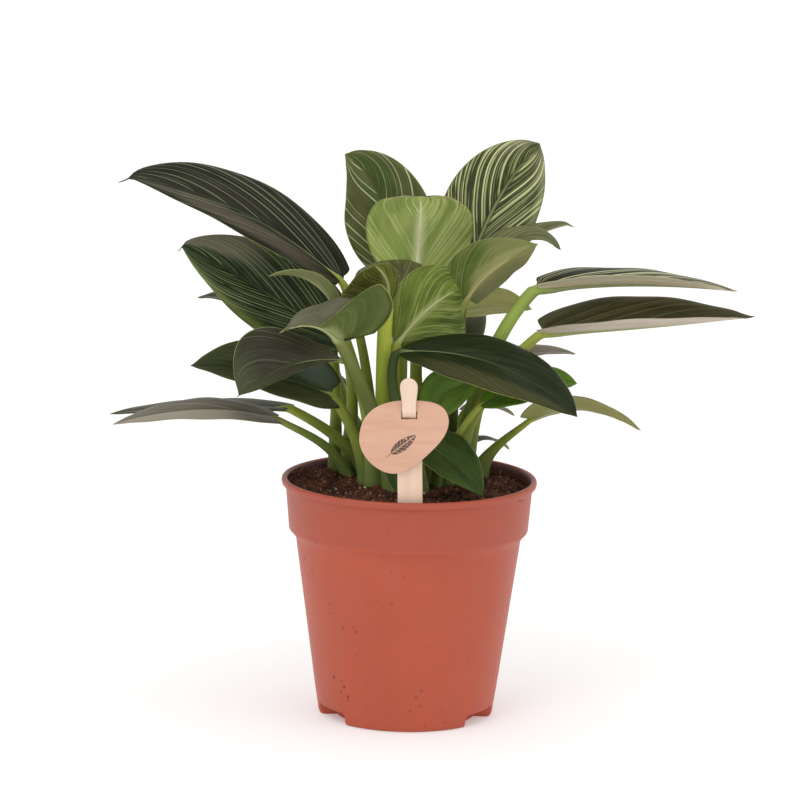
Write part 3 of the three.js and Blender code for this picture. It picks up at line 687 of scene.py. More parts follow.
LEAVES = {
    "long_upper_left": dict(
        root=(-16, 20), base=(-33, 9, 204), mid=(-82, 5, 237), tip=(-137, -8, 255), width=20,
        face=((0.3, -0.6, 0.75), (-0.1, -0.5, 0.85)), shape=(0.62, 0.68), tail=0.05,
        share=(0.88, 1.05), hook=(0, 0, -4), finish="brown_striped"),
    "striped_left": dict(
        root=(-28, 22), base=(-32, 13, 173), mid=(-69, 17, 196.5), tip=(-112, 6, 223), width=24,
        face=((-0.1, -0.85, 0.5), (-0.3, -0.7, 0.6)), shape=(0.52, 0.75), lobe=0.1, tail=0.05,
        hook=(2, 0, -6), share=(0.82, 0.98), stalk=(2.2, 4.2), finish="dense_striped"),
    "back_left": dict(
        root=(-35, 25), base=(-43, 31, 184), mid=(-75, 44, 188), tip=(-103, 54, 188), width=18,
        face=((0, -0.1, 1), (-0.1, -0.1, 1)), finish="olive_plain"),
    "dark_left": dict(
        root=(-20, 3), base=(-37, -4, 152), mid=(-67, -13, 163), tip=(-102, -25, 169), width=22,
        face=((0, -0.4, 0.9), (-0.3, -0.4, 0.85)), fold=((8, 35), (8, 40), (8, 30)), share=(1.05, 0.88),
        stalk=(2.1, 4.8), finish="blue_dark"),
    "curled_young": dict(
        root=(-14, 11), base=(-35, -6, 193), mid=(-49, -12, 208), tip=(-67, -17, 210), width=6,
        face=((0, 0.3, 0.95), (-0.2, 0.1, 0.95)), fold=((40, 30), (40, 30), (30, 30)), stalk=(1.4, 2.2),
        finish="young_olive"),
    "folded_front": dict(
        root=(-8, -12), base=(-33, -26, 181), mid=(-46, -33, 190), tip=(-61, -38, 187), width=26,
        face=((-0.2, -0.3, 1), (-0.1, 0.1, 1)), fold=((85, 70), (80, 35), (0, 5)), turn=(0.18, 0.42),
        share=(1.25, 0.85), shape=(0.22, 1.1), stalk=(2.7, 5.2), fade=(0.03, 0.8), finish="grey_top"),
    "arched_front": dict(
        root=(-12, 3), base=(-12, -11, 196), mid=(-12, -17, 208.5), tip=(-18, -28, 218), width=22,
        face=((-0.1, 0.95, 0.2), (0, 0.8, 0.6)), fold=((50, 0), (50, 0), (30, 10)), share=(0.35, 1),
        lobe=0.5, stalk=(3.3, 5.2), finish="shaded_underside"),
    "olive_centre": dict(
        root=(-5, 12), base=(-4, 7, 197), mid=(-5, 14, 210), tip=(-6, 24, 212), width=23,
        face=((0, -0.6, 0.8), (0, 0, 1)), fold=((15, 0), (0, 0), (-5, 0)), share=(1, 0.5),
        stalk=(2.0, 3.8), finish="brown_green"),
    "underside_centre": dict(
        root=(-3, 0), base=(-7, -6, 177), mid=(8, -8, 195), tip=(24, -1, 204), width=23,
        face=((0.1, 1, -0.1), (0.1, 1, -0.1)), fold=((18, 5), (18, 0), (18, 0)), lobe=0.1,
        stalk=(2.4, 4.4), share=(1.0, 0.8), shape=(0.75, 0.5), finish="green_underside"),
    "underside_right": dict(
        root=(15, 15), base=(25, -3, 197.5), mid=(37, -14, 214), tip=(57, -22, 228), width=19.5,
        face=((0.2, 1, -0.1), (0.2, 1, 0)), fold=((65, 5), (60, 5), (25, 5)), share=(0.75, 0.9),
        sway=((0, 0, 0), (-4, 9, 0)), stalk=(1.7, 3.4), shape=(0.42, 0.95), lobe=0.45,
        finish="tan_underside"),
    "pale_top": dict(
        root=(3, 9), base=(2, 32, 203), mid=(3, 16, 231), tip=(3, -13, 248), width=26,
        face=((0, 0.9, 0.45), (0, 0.5, 0.85)), stalk=(2.4, 4.0), finish="pale_underside"),
    "top_left": dict(
        root=(-8, 20), base=(-7, 45, 205), mid=(-16, 47, 239), tip=(-33, 40, 260), width=22,
        face=((0.1, -0.95, 0.3), (0.1, -0.95, 0.3)), fold=((8, 28), (8, 28), (8, 20)), shape=(0.52, 0.8),
        stalk=(2.2, 4.0), finish="few_striped"),
    "top_right": dict(
        root=(14, 27), base=(27, 46, 207), mid=(41, 48, 240), tip=(59, 46, 266), width=24,
        face=((0, -0.95, 0.3), (0, -0.95, 0.3)), fold=((12, 25), (12, 25), (12, 12)), shape=(0.52, 0.68),
        stalk=(2.4, 4.0), finish="bright_striped"),
    "thin_back_right": dict(
        root=(10, 20), base=(26, 22, 205), mid=(52, 27, 222), tip=(76, 33, 230), width=10,
        face=((0, -0.1, 1), (0, -0.1, 1)), fold=((30, 10), (30, 10), (30, 30)), hook=(0, 0, -2),
        finish="brown_green"),
    "tip_back_right": dict(
        root=(19, 20), base=(29, 10, 212), mid=(52, 14, 226), tip=(69, 14, 220), width=10,
        face=((0, -0.3, 0.95), (0, -0.3, 0.95)), finish="brown_green"),
    "long_right_upper": dict(
        root=(22, 11), base=(57, 2, 203), mid=(104, 0, 206.5), tip=(151, -6, 205), width=17,
        face=((0, 0, 1), (0, 0, 1)), fold=((30, 24), (18, 24), (8, 20)), stalk=(3.0, 4.4),
        shape=(0.52, 0.74), finish="beige_striped"),
    "long_right_lower": dict(
        root=(18, 3), base=(60, -4, 183), mid=(111, -8, 188), tip=(159, -10, 194), width=20,
        face=((0, -0.15, 1), (0, -0.15, 1)), fold=((32, 30), (32, 30), (25, 25)), stalk=(2.2, 4.4),
        finish="brown_long"),
    "grey_right": dict(
        root=(27, 16), base=(41, 17, 165), mid=(58, 24, 169), tip=(78, 29, 168), width=8,
        face=((0, -0.2, 1), (0, -0.2, 1)), finish="grey_plain"),
    "olive_right": dict(
        root=(20, 25), base=(19, 30, 187), mid=(39, 37, 189), tip=(57, 41, 187), width=15,
        face=((0, 0.8, 0.6), (0, 0.8, 0.6)), share=(0.6, 0.8), finish="olive_lit"),
    "broad_front_right": dict(
        root=(2, -8), base=(-7, -14, 175), mid=(37, -29, 173), tip=(76, -51, 153), width=20,
        face=((0.1, -0.5, 0.85), (0.3, -0.5, 0.85)), fold=((5, 0), (5, 0), (5, 5)), share=(0.9, 1),
        lobe=0.05, shape=(0.85, 0.8), stalk=(2.2, 4.4), finish="broad_dark"),
    "green_right": dict(
        root=(13, -7), base=(32, -12, 150), mid=(55, -12, 161), tip=(77, -16, 162), width=17,
        face=((-0.1, -0.5, 0.85), (-0.1, -0.5, 0.85)), lobe=0.05, shape=(0.8, 0.8), stalk=(1.4, 2.4),
        share=(0.6, 1), finish="sunlit_green"),
    "small_low_right": dict(
        root=(22, 35), base=(25, 35, 138), mid=(37, 40, 140), tip=(50, 48, 134), width=7,
        face=((0, 0, 1), (0, 0, 1)), stalk=(1.1, 1.8), finish="grey_plain"),
    "pale_low_right": dict(
        root=(33, 19), base=(56, 10, 139), mid=(80, 4, 146), tip=(108, -4, 138), width=14,
        face=((0, 0.45, 0.9), (0, 0.45, 0.9)), stalk=(1.4, 3.6), sheath=0.8, finish="olive_underside"),
    "thin_low_right": dict(
        root=(26, 37), base=(27, 38, 121), mid=(38, 44, 123), tip=(48, 50, 117), width=5,
        face=((0, 0, 1), (0, 0, 1)), stalk=(0.9, 1.6)),
    "front_low": dict(
        root=(5, -16), base=(5, -14, 134), mid=(18, -28, 127), tip=(34, -40, 113), width=14,
        face=((0.1, -0.6, 0.8), (0.4, -0.6, 0.6)), finish="fresh_green"),
    "small_front": dict(
        root=(-6, -20), base=(-6, -20, 133), mid=(-8, -30, 126), tip=(-6, -42, 115), width=4.5,
        face=((-0.1, -0.8, 0.5), (-0.1, -0.8, 0.5)), stalk=(1.2, 2), share=(0.8, 1), finish="fresh_green"),
    "young_green": dict(
        root=(8, 3), base=(11, -2, 146), mid=(16, -4, 154), tip=(33, -8, 162), width=12,
        face=((-0.4, -0.8, 0.4), (-0.2, -0.8, 0.5)), stalk=(1.4, 2.2), finish="bright_young"),
    "grey_front_left": dict(
        root=(-16, -5), base=(-30, -12, 170), mid=(-55, -34, 171.5), tip=(-79, -60, 161), width=22.5,
        face=((0, -0.8, 0.6), (-0.1, -1, 0.1)), fold=((0, 0), (0, 0), (0, 0)), lobe=0.05,
        shape=(1.5, 0.9), share=(0.2, 1), tail=0.03, stalk=(1.9, 4.6), finish="brown_grey"),
    "low_left_back": dict(
        root=(-22, 16), base=(-57, 10, 143), mid=(-97, 16, 142), tip=(-142, 14, 138), width=16,
        face=((0, -0.05, 1), (0, -0.05, 1)), fold=((4, 0), (4, 0), (4, 4)), stalk=(2.1, 3.6),
        finish="olive_plain"),
    "low_left_front": dict(
        root=(-30, 11), base=(-62, -12, 142), mid=(-98, -18, 147), tip=(-138, -22, 140), width=16,
        face=((0, -0.1, 1), (0, -0.1, 1)), fold=((0, 4), (0, 4), (0, 4)), stalk=(1.5, 3.2),
        finish="brown_pair"),
    "rear_top": dict(
        root=(1, 23), base=(4, 62, 196), mid=(6, 88, 214), tip=(4, 118, 205), width=21,
        face=((0, -0.3, 1), (0, 0.2, 1)), finish="dense_striped"),
    "rear_left": dict(
        root=(-25, 32), base=(-42, 45, 172), mid=(-58, 68, 186), tip=(-78, 97, 180), width=18,
        face=((0, -0.3, 1), (-0.1, 0.1, 1)), finish="few_striped"),
    "rear_right": dict(
        root=(12, 34), base=(18, 48, 158), mid=(20, 76, 176), tip=(22, 108, 168), width=17,
        face=((0, -0.3, 1), (0, 0.2, 1)), finish="olive_plain"),
    "rear_low": dict(
        root=(3, 33), base=(2, 50, 126), mid=(-1, 80, 131), tip=(-4, 112, 120), width=15,
        face=((0, -0.2, 1), (0, 0.2, 1))),
    "rear_low_left": dict(
        root=(-16, 31), base=(-32, 44, 140), mid=(-58, 66, 150), tip=(-83, 88, 142), width=14,
        face=((0, -0.2, 1), (-0.1, 0.1, 1)), finish="few_striped"),
}
print("the plant has", len(LEAVES), "leaves")

# %% [markdown]
# The rule is the same for every leaf, so it is written once, as a Geometry Nodes tree with the leaf's
# numbers as its inputs. A flat grid is the blank: its length becomes the way along the midrib, and its
# breadth the way from margin to margin. Sample Curve gives the midrib's place and direction at each
# station. Two copies of the moved grid, one a little above and one a little below, merge at their
# margins into one thin closed blade. A second grid is rolled into a tube, which is the stalk, and under
# the blade the rib that carries it. The powers TO_BASE and TO_RIB crowd the blank's lines towards the
# leaf's base and its midrib, where the form changes fastest.

# %% The tree that grows a leaf
LENGTHWISE = 72
CROSSWISE = 27
MIDRIB_STEPS = 96
TO_BASE = 1.5
TO_RIB = 1.4
BLADE_THICKNESS = 0.7 * MM
EDGE_ROUNDING = 6.0
TIP_HALF_WIDTH = 0.3 * MM
LOBE_CLEARANCE = 1.6
BULGE = 0.1
RIPPLES = 3.1
LEFT_SHIFT = 0.37
FULL_TURN = 6.283
GROOVE_HALF_WIDTH = 0.7 * MM
GROOVE_DEPTH = 0.25 * MM
HOOKED = (0.93, 1.01)
MERGE_DISTANCE = 0.002 * MM
STALK_STEPS = 64
TUBE_STEPS = 64
TUBE_SIDES = 14
FOOT_SHARE = 0.06
STALK_SHARE = 0.58
FOOT_DEPTH = 9 * MM
RIB_SHARE = 0.32
RIB_TOP = 0.2 * MM
RIB_FALL = 14.0
RIB_TAPER = 0.75

LEAF_VECTORS = ("Base", "Pull", "Tip", "Foot", "Rise", "Swing", "Hook", "Lean", "Face at base",
                "Face at tip", "Face at root", "Fold left", "Fold right")
LEAF_NUMBERS = ("Half width", "Swell", "Taper", "Turn from", "Turn to", "Share left", "Share right",
                "Fade left", "Fade right", "Lobe", "Stalk radius", "Root radius", "Sheath", "Ripple",
                "Tail", "Phase")


def cross(first, second):
    """The direction square to two others."""
    return first.calc("CROSS_PRODUCT", second)


def side_and_up(forward, face):
    """The two directions square to the way forward: along the blade's breadth, and out of it."""
    side = cross(forward, face).calc("NORMALIZE")
    return side, cross(side, forward).calc("NORMALIZE")


def mix(first, second, share):
    """A number or vector that goes from the first to the second."""
    return first + (second - first) * share


def part_of(wire, start, end):
    """How far a wire is on its way from start to end, and never under 0."""
    return ((wire - start) / (end - start)).calc("MAXIMUM", 0.0)


def sampled(graph, curve, factor):
    """Place and direction on a curve."""
    spot = graph.add("GeometryNodeSampleCurve", {"mode": "FACTOR"}, {"Curves": curve, "Factor": factor},
                     out="Position")
    return spot, spot.other("Tangent")


def moved(graph, mesh, **values):
    """A mesh whose points go to a new Position, or by an Offset."""
    return graph.add("GeometryNodeSetPosition", None, {"Geometry": mesh, **values})


def merged(graph, mesh):
    """A mesh whose touching points are one."""
    return graph.add("GeometryNodeMergeByDistance", None, {"Geometry": mesh, "Distance": MERGE_DISTANCE})


def blank(graph, length, breadth, along, across):
    """A grid that keeps two numbers, made from its place along and across."""
    grid = graph.add("GeometryNodeMeshGrid", None, {
        "Size X": 1.0, "Size Y": 2.0, "Vertices X": length, "Vertices Y": breadth})
    spread = graph.split(graph.add("GeometryNodeInputPosition"))
    grid = store(graph, grid, "along", along(spread + 0.5))
    return store(graph, grid, "across", across(spread.other("Y")))


def blade_nodes(graph, given, midrib):
    """The thin closed blade."""
    sheet = blank(graph, LENGTHWISE, CROSSWISE, lambda x: x ** TO_BASE,
                  lambda y: y.calc("SIGN") * abs(y) ** TO_RIB)
    along, across = stored(graph, "along"), stored(graph, "across")
    spine, forward = sampled(graph, midrib, along)
    side, up = side_and_up(forward, mix(given["Face at base"], given["Face at tip"], along))
    left = across < 0.0

    def own(title):
        """What the leaf gives to the half that a point lies on."""
        return mix(given[f"{title} right"], given[f"{title} left"], left)

    out_share = abs(across)
    swell, taper = given["Swell"], given["Taper"]
    widest = swell / (swell + taper)
    body = (along / (1.0 - given["Tail"])).calc("MINIMUM", 1.0)
    outline = (body / widest) ** swell * ((1.0 - body) / (1.0 - widest)) ** taper
    half = TIP_HALF_WIDTH + (given["Half width"] - TIP_HALF_WIDTH) * outline
    half = half * own("Share")
    turned = along.smooth(given["Turn from"], given["Turn to"])
    half = half * (1.0 - (1.0 - own("Fade")) * turned)
    folds = graph.split(own("Fold"))
    fold = mix(folds, folds.other("Y"), turned)
    fold = mix(fold, folds.other("Z"), along.smooth(0.5, 1.0)) * along.fall(0.9, 1.0)
    out = half * out_share
    swept = given["Lobe"] * given["Half width"] * (1.0 - along) ** 4.0 * out_share ** 2.0
    room = (out - LOBE_CLEARANCE * given["Stalk radius"]).calc("MAXIMUM", 0.0)
    bulge = BULGE * half * out_share * (1.0 - out_share) * 2.0
    wave = ((along * RIPPLES + given["Phase"] + left * LEFT_SHIFT) * FULL_TURN).calc("SINE")
    ripple = given["Ripple"] * wave * out_share ** 3.0 * along.smooth(0.0, 0.2) * along.fall(0.8, 1.0)
    groove = GROOVE_DEPTH / (1.0 + (out / GROOVE_HALF_WIDTH) ** 2.0) * along.fall(0.0, 1.0, 0.2)
    rise = out * fold.calc("SINE") + bulge + ripple
    place = (spine + side * (across.calc("SIGN") * out * fold.calc("COSINE")) + up * rise
             - forward * swept.calc("MINIMUM", room) + given["Hook"] * along.smooth(*HOOKED))
    sheet = moved(graph, sheet, Position=place)
    below = graph.add("GeometryNodeInputNormal")
    ends = along.smooth(0.0, 0.03) * along.fall(0.97, 1.0)
    inside = 1.0 - out_share ** EDGE_ROUNDING
    thick = inside ** 0.5 * ends * (BLADE_THICKNESS / 2)
    under = moved(graph, sheet, Offset=below * thick)
    upper = moved(graph, sheet, Offset=below * (groove * ends * inside - thick))
    upper = graph.add("GeometryNodeFlipFaces", None, {"Mesh": upper})
    both = [store(graph, under, "upper", 0.0, "FACE"), store(graph, upper, "upper", 1.0, "FACE")]
    closed = merged(graph, graph.add("GeometryNodeJoinGeometry", None, {0: both}))
    return store(graph, closed, "stalk", 0.0, "FACE")


def tube_nodes(graph, given, midrib):
    """The stalk out of the soil, which runs on under the blade as its rib."""
    stalk = graph.add("GeometryNodeCurvePrimitiveBezierSegment", None, {
        "Resolution": STALK_STEPS, "Start": given["Foot"], "Start Handle": given["Rise"],
        "End Handle": given["Swing"], "End": given["Base"]})
    tube = blank(graph, TUBE_STEPS, TUBE_SIDES + 1, lambda x: x, lambda y: y)
    length, turn = stored(graph, "along"), stored(graph, "across") * math.pi
    low = (length / FOOT_SHARE).calc("MINIMUM", 1.0)
    climb = part_of(length, FOOT_SHARE, STALK_SHARE).calc("MINIMUM", 1.0)
    onward = part_of(length, STALK_SHARE, 1.0)
    on_blade = length > STALK_SHARE
    stalk_place, stalk_way = sampled(graph, stalk, climb)
    rib_place, rib_way = sampled(graph, midrib, onward)
    spine = mix(stalk_place, rib_place, on_blade) - given["Lean"] * ((1.0 - low) * FOOT_DEPTH)
    stalk_face = mix(given["Face at root"], given["Face at base"], climb)
    blade_face = mix(given["Face at base"], given["Face at tip"], onward)
    side, up = side_and_up(mix(stalk_way, rib_way, on_blade), mix(stalk_face, blade_face, on_blade))
    stalk_radius = mix(given["Root radius"], given["Stalk radius"], climb ** 0.5)
    thinner = RIB_SHARE + (1.0 - RIB_SHARE) * (onward * -RIB_FALL).calc("EXPONENT")
    rib_radius = given["Stalk radius"] * thinner * (1.0 - onward * RIB_TAPER)
    radius = mix(stalk_radius, rib_radius, on_blade)
    ends = length.smooth(0.0, 0.004) * length.fall(0.985, 1.0)
    wide = 1.0 + given["Sheath"] * climb.fall(0.0, 0.55)
    drop = (radius - RIB_TOP) * onward.smooth(0.0, 0.1)
    place = (spine + side * (radius * wide * ends * turn.calc("COSINE"))
             + up * (radius * ends * turn.calc("SINE") - drop) + given["Hook"] * onward.smooth(*HOOKED))
    tube = merged(graph, moved(graph, tube, Position=place))
    tube = store(graph, tube, "upper", turn.calc("SINE"), "FACE")
    tube = store(graph, tube, "along", climb - 1.0 + onward)
    return store(graph, tube, "stalk", 1.0, "FACE")


def leaf_tree():
    """Blade and stalk together."""
    inputs = {**dict.fromkeys(LEAF_VECTORS, "vector"), **dict.fromkeys(LEAF_NUMBERS, "number")}
    graph, given = new_tree("Leaf", {**inputs, "Material": "material"})
    midrib = graph.add("GeometryNodeCurveQuadraticBezier", None, {
        "Resolution": MIDRIB_STEPS, "Start": given["Base"], "Middle": given["Pull"], "End": given["Tip"]})
    parts = [blade_nodes(graph, given, midrib), tube_nodes(graph, given, midrib)]
    return close_tree(graph, parts, given["Material"])


LEAF_TREE = leaf_tree()
print("the leaf tree has", len(LEAF_TREE.nodes), "nodes")

# %% [markdown]
# A birkin's stripes are side veins without green in them. They leave the midrib at a sharp angle and
# bend towards the tip, so a number that falls as one moves out from the midrib is the same all along
# one vein. Voronoi cells of that number give lines at uneven distances, each with a strength of its
# own, and a stretched noise makes them come and go. One layer gives the bold stripes and one the fine
# ones. The underside shows veins of the same kind, pale and blurred. The stalk is yellow-green at the
# blade and duller towards its foot, with faint fibres and brown spots. Each finish names its own
# colours and soft patches of others. A patch is a colour, a hand, a stretch across, a stretch along
# and a strength. Some patches are painted sheen and painted shade, and the others are tints of the
# leaf's own colour. The haze colour is a painted sheen, laid in cloudy spots over the top face.

# %% Leaf finishes
VEIN_SLOPE = 0.8
VEIN_BEND = 1.08
VEIN_EASE = 0.35
HAND_SHIFT = 31.7
FINE_SHIFT = 5.3
FINE_WIDTH = 0.24
BLUR_WIDTH = 0.62
PATCH_EDGE = 0.12
FAR_EDGE = 0.1
MARGIN = (0.972, 0.99)
TIP_FADE = 0.025
STALK_SPOTS = "6A5238"
STALK_FIBRES = "3F5A24"

# The haze colour and its strength give a painted sheen on the top face.
PLAIN_FINISH = dict(
    upper="333A24", upper_two="3E452B", stripe="9AA276", bold=11, bold_strength=0.0, bold_width=0.1,
    fine=34, fine_strength=0.12, under="7C8155", under_two="8A8C62", under_stripe="A8A981",
    under_strength=0.35, rib="9AA070", top_rib="464D30", margin="A9AE6B", stalk="87923B",
    stalk_top="9AA346", foot="6C7C40", gloss=0.36, painted_sheen="6E6A58", painted_sheen_strength=0.25,
    tip="A58E68", tip_from=0.985, patches=(), low_patches=(),
)

FINISHES = {
    # The second patch of blue_dark is a painted bluish sheen near the base.
    "blue_dark": dict(
        patches=(("3C3822", 1, 0.1, 0.7, 0.35, 0.65, 0.6), ("5A6A60", 1, 0.15, 0.85, 0.0, 0.28, 0.6)),
        upper="2A3317", upper_two="353A1B", painted_sheen="4C5338", painted_sheen_strength=0.2),
    # The patch of plain_dark is a painted brownish sheen on the front half.
    "plain_dark": dict(
        patches=(("3C3822", 1, 0.1, 0.7, 0.05, 0.55, 0.4),),
        upper="242C14", upper_two="2D3217", painted_sheen="464D32", painted_sheen_strength=0.2),
    # The patch of broad_dark is a painted brownish sheen.
    "broad_dark": dict(
        patches=(("4A4725", 1, 0.5, 1.2, 0.15, 0.95, 0.55),),
        upper="141E05", upper_two="1A2408", painted_sheen="343F22", painted_sheen_strength=0.2,
        # Painted shade: the stalk colours are dark because this stalk stands in shadow.
        stalk="4A5A2A", stalk_top="39471F"),
    "sunlit_green": dict(
        upper="426211", upper_two="557A17", painted_sheen="5F7A38", painted_sheen_strength=0.2, gloss=0.3),
    "fresh_green": dict(upper="283A0F", upper_two="344916", painted_sheen="485F2E", painted_sheen_strength=0.2),
    # The first patch of brown_striped is a painted grey-brown sheen along the lower half.
    "brown_striped": dict(
        patches=(("493E32", -1, 0.25, 0.8, 0.12, 0.8, 0.8), ("2E2A20", 1, 0.0, 0.5, 0.3, 0.8, 0.5)),
        upper="131509", upper_two="17190C", stripe="979F79", bold=7, bold_strength=0.75, bold_width=0.038,
        fine=22, fine_strength=0.22, painted_sheen="38362B"),
    # The first patch of dense_striped is a painted grey sheen near the tip.
    "dense_striped": dict(
        patches=(("746C62", 1, 0.35, 1.2, 0.6, 1.1, 0.85), ("6F7A3A", -1, 0.8, 1.2, 0.2, 0.95, 0.6)),
        upper="18240F", upper_two="222C15", stripe="9CAC7B", bold=14, bold_strength=0.72, bold_width=0.07,
        fine=32, fine_strength=0.4, painted_sheen="636156", painted_sheen_strength=0.15),
    "few_striped": dict(
        patches=(("5E5636", -1, 0.3, 1.2, 0.0, 1.0, 0.45), ("55502F", 1, 0.55, 1.2, 0.0, 1.1, 0.4)),
        upper="485A2A", upper_two="606536", stripe="C4CFA0", bold=6, bold_strength=1.0, bold_width=0.045,
        fine=26, top_rib="4E6038", painted_sheen="5A5A48"),
    "bright_striped": dict(
        patches=(("807A66", 0, 0.5, 1.2, 0.8, 1.1, 0.6), ("9FA878", 1, 0.86, 1.2, 0.1, 0.9, 0.5)),
        upper="313A1D", upper_two="404625", stripe="D7DC9E", bold=15, bold_strength=1.0, bold_width=0.11,
        fine=29, fine_strength=0.6, top_rib="A3B374", painted_sheen="5B6047"),
    # The first patch of beige_striped is a painted grey sheen over the outer part of the top face.
    "beige_striped": dict(
        patches=(("4E4A36", 0, 0.0, 1.3, 0.55, 1.1, 0.85), ("3E3C2A", 0, 0.7, 1.3, 0.2, 0.7, 0.35)),
        low_patches=(("C9C3A6", 0, 0.5, 1.3, 0.0, 0.9, 0.5),),
        upper="141B08", upper_two="21220D", stripe="CAC99D", bold=9, bold_strength=0.9, bold_width=0.11,
        # The pale underside colours are partly the leaf's own and partly painted light shining through the
        # blade.
        fine=40, fine_strength=0.08, tip="B08C54", tip_from=0.955, under="E8D8B4", under_two="F9E7C6",
        under_stripe="FFFFE7", painted_sheen="3E3A2B", painted_sheen_strength=0.08, stalk="8FA24A", stalk_top="9CB056"),
    "brown_long": dict(
        upper="323119", upper_two="3D3921", stripe="6A6940", bold=10, bold_strength=0.6, bold_width=0.08,
        fine=30, fine_strength=0.15, under="B2A693", under_two="BEB2A3", under_stripe="CDC0B2"),
    "brown_grey": dict(
        patches=(("2E2C24", 1, 0.1, 0.8, 0.1, 0.75, 0.6), ("464B30", 0, 0.0, 1.2, 0.8, 1.1, 0.7),
                 ("62604C", 0, 0.0, 1.2, 0.0, 0.25, 0.6)),
        upper="292915", upper_two="323421", stripe="6E6C55", bold=9, bold_strength=0.35, bold_width=0.08,
        fine=26, fine_strength=0.2, painted_sheen="3C3A30"),
    "brown_green": dict(
        upper="4E5231", upper_two="5F5F3C", stripe="8F9160", bold=10, bold_strength=0.6, fine=30,
        fine_strength=0.3),
    "grey_top": dict(
        stalk="626835", stalk_top="72783F", margin="BDBB6C",
        upper="575740", upper_two="63624C", stripe="928E78", under="455224", under_two="535D2C",
        under_stripe="67713D", under_strength=0.6, painted_sheen="666353", painted_sheen_strength=0.5),
    "grey_plain": dict(
        upper="736D5A", upper_two="847D6E", under="847E66", under_two="958D77", painted_sheen="968C84"),
    "brown_pair": dict(
        patches=(("3E3A2C", 1, 0.45, 1.2, 0.0, 0.75, 0.6), ("9A917E", -1, 0.25, 1.2, 0.3, 1.1, 0.7)),
        upper="5A5446", upper_two="6A6355", stripe="9A917C", bold=8, bold_strength=0.45, fine=24,
        fine_strength=0.3, under="857D6C", under_two="968D7A", painted_sheen="6E675A", stalk="7A8A40",
        stalk_top="8A9248"),
    "olive_plain": dict(upper="32321B", upper_two="3C3B21", under="59583B", under_two="636142"),
    "olive_underside": dict(under="81834B", under_two="8F8E55", under_stripe="9C995E", under_strength=0.2),
    "olive_lit": dict(
        under="9D9E5F", under_two="AEAA6C", under_stripe="B0AB6A", under_strength=0.2),
    "young_olive": dict(
        upper="4A542C", upper_two="575D35", under="6E7346", under_two="777D4F", margin="C1CC6E"),
    "bright_young": dict(upper="4E6E22", upper_two="5F7F2C", under="7A8E48", stripe="8BA04E",
                         fine_strength=0.3, painted_sheen="6E8048"),
    "shaded_underside": dict(
        under="444B1E", under_two="575D27", under_stripe="848541", under_strength=0.8, stalk="A5B342",
        stalk_top="B9C450", rib="A3A868"),
    "green_underside": dict(
        low_patches=(("2C3D15", -1, 0.3, 1.2, 0.0, 0.9, 0.7),),
        under="4B5C1C", under_two="5E6D26", under_stripe="8E9A51", under_strength=0.9, rib="A8AE76"),
    "tan_underside": dict(
        low_patches=(("7C7E4E", 1, 0.15, 1.2, 0.55, 1.1, 0.7), ("A39C6C", 0, 0.0, 0.3, 0.2, 1.0, 0.5),
                     ("88855A", -1, 0.1, 1.2, 0.1, 1.1, 0.75)),
        under="42561D", under_two="546326", under_stripe="7B7E4A", under_strength=0.9, rib="A59E6A",
        stalk="6F7A40", stalk_top="8A9150"),
    # The pale underside colours are partly the leaf's own and partly painted light shining through the
    # blade.
    "pale_underside": dict(
        low_patches=(("7F9A44", 0, 0.35, 1.2, 0.55, 0.95, 0.6), ("B98F78", 0, 0.86, 1.2, 0.72, 1.1, 0.8)),
        under="97AE55", under_two="B2C368", under_stripe="F0F6AB", under_strength=0.8, rib="FFFFD0"),
}


def vein_lines(graph, flow, hand, count, width, seed):
    """Thin lines at uneven steps of flow, each with a strength of its own."""
    steps = flow * count + hand * HAND_SHIFT + seed
    cell = graph.add("ShaderNodeTexVoronoi", {"voronoi_dimensions": "1D", "feature": "F1"},
                     {"W": steps, "Scale": 1.0, "Randomness": 0.75}, out="Distance")
    draw = graph.add("ShaderNodeSeparateColor", None, {0: cell.other("Color")})
    strength = draw.smooth(0.05, 0.7)
    return (1.0 - (cell / (width * (0.5 + draw.other("Green")))).smooth(0.35, 1.0)) * strength


def between(wire, start, end, end_edge):
    """1 where a wire is between start and end, with soft edges."""
    inside = wire.smooth(start - PATCH_EDGE, start + PATCH_EDGE)
    return inside * wire.fall(end - end_edge, end + end_edge)


def patched(graph, colour, patches, along, across):
    """Soft patches of other colours, each on one hand or both: some are painted sheen and painted shade,
    the others the leaf's own tints.
    """
    for code, hand, near, far, start, end, strength in patches:
        mask = between(abs(across), near, far, FAR_EDGE) * between(along, start, end, PATCH_EDGE)
        if hand:
            mask = mask * (across * float(hand)).smooth(-0.03, 0.03)
        colour = blend(graph, colour, code, mask * strength)
    return colour


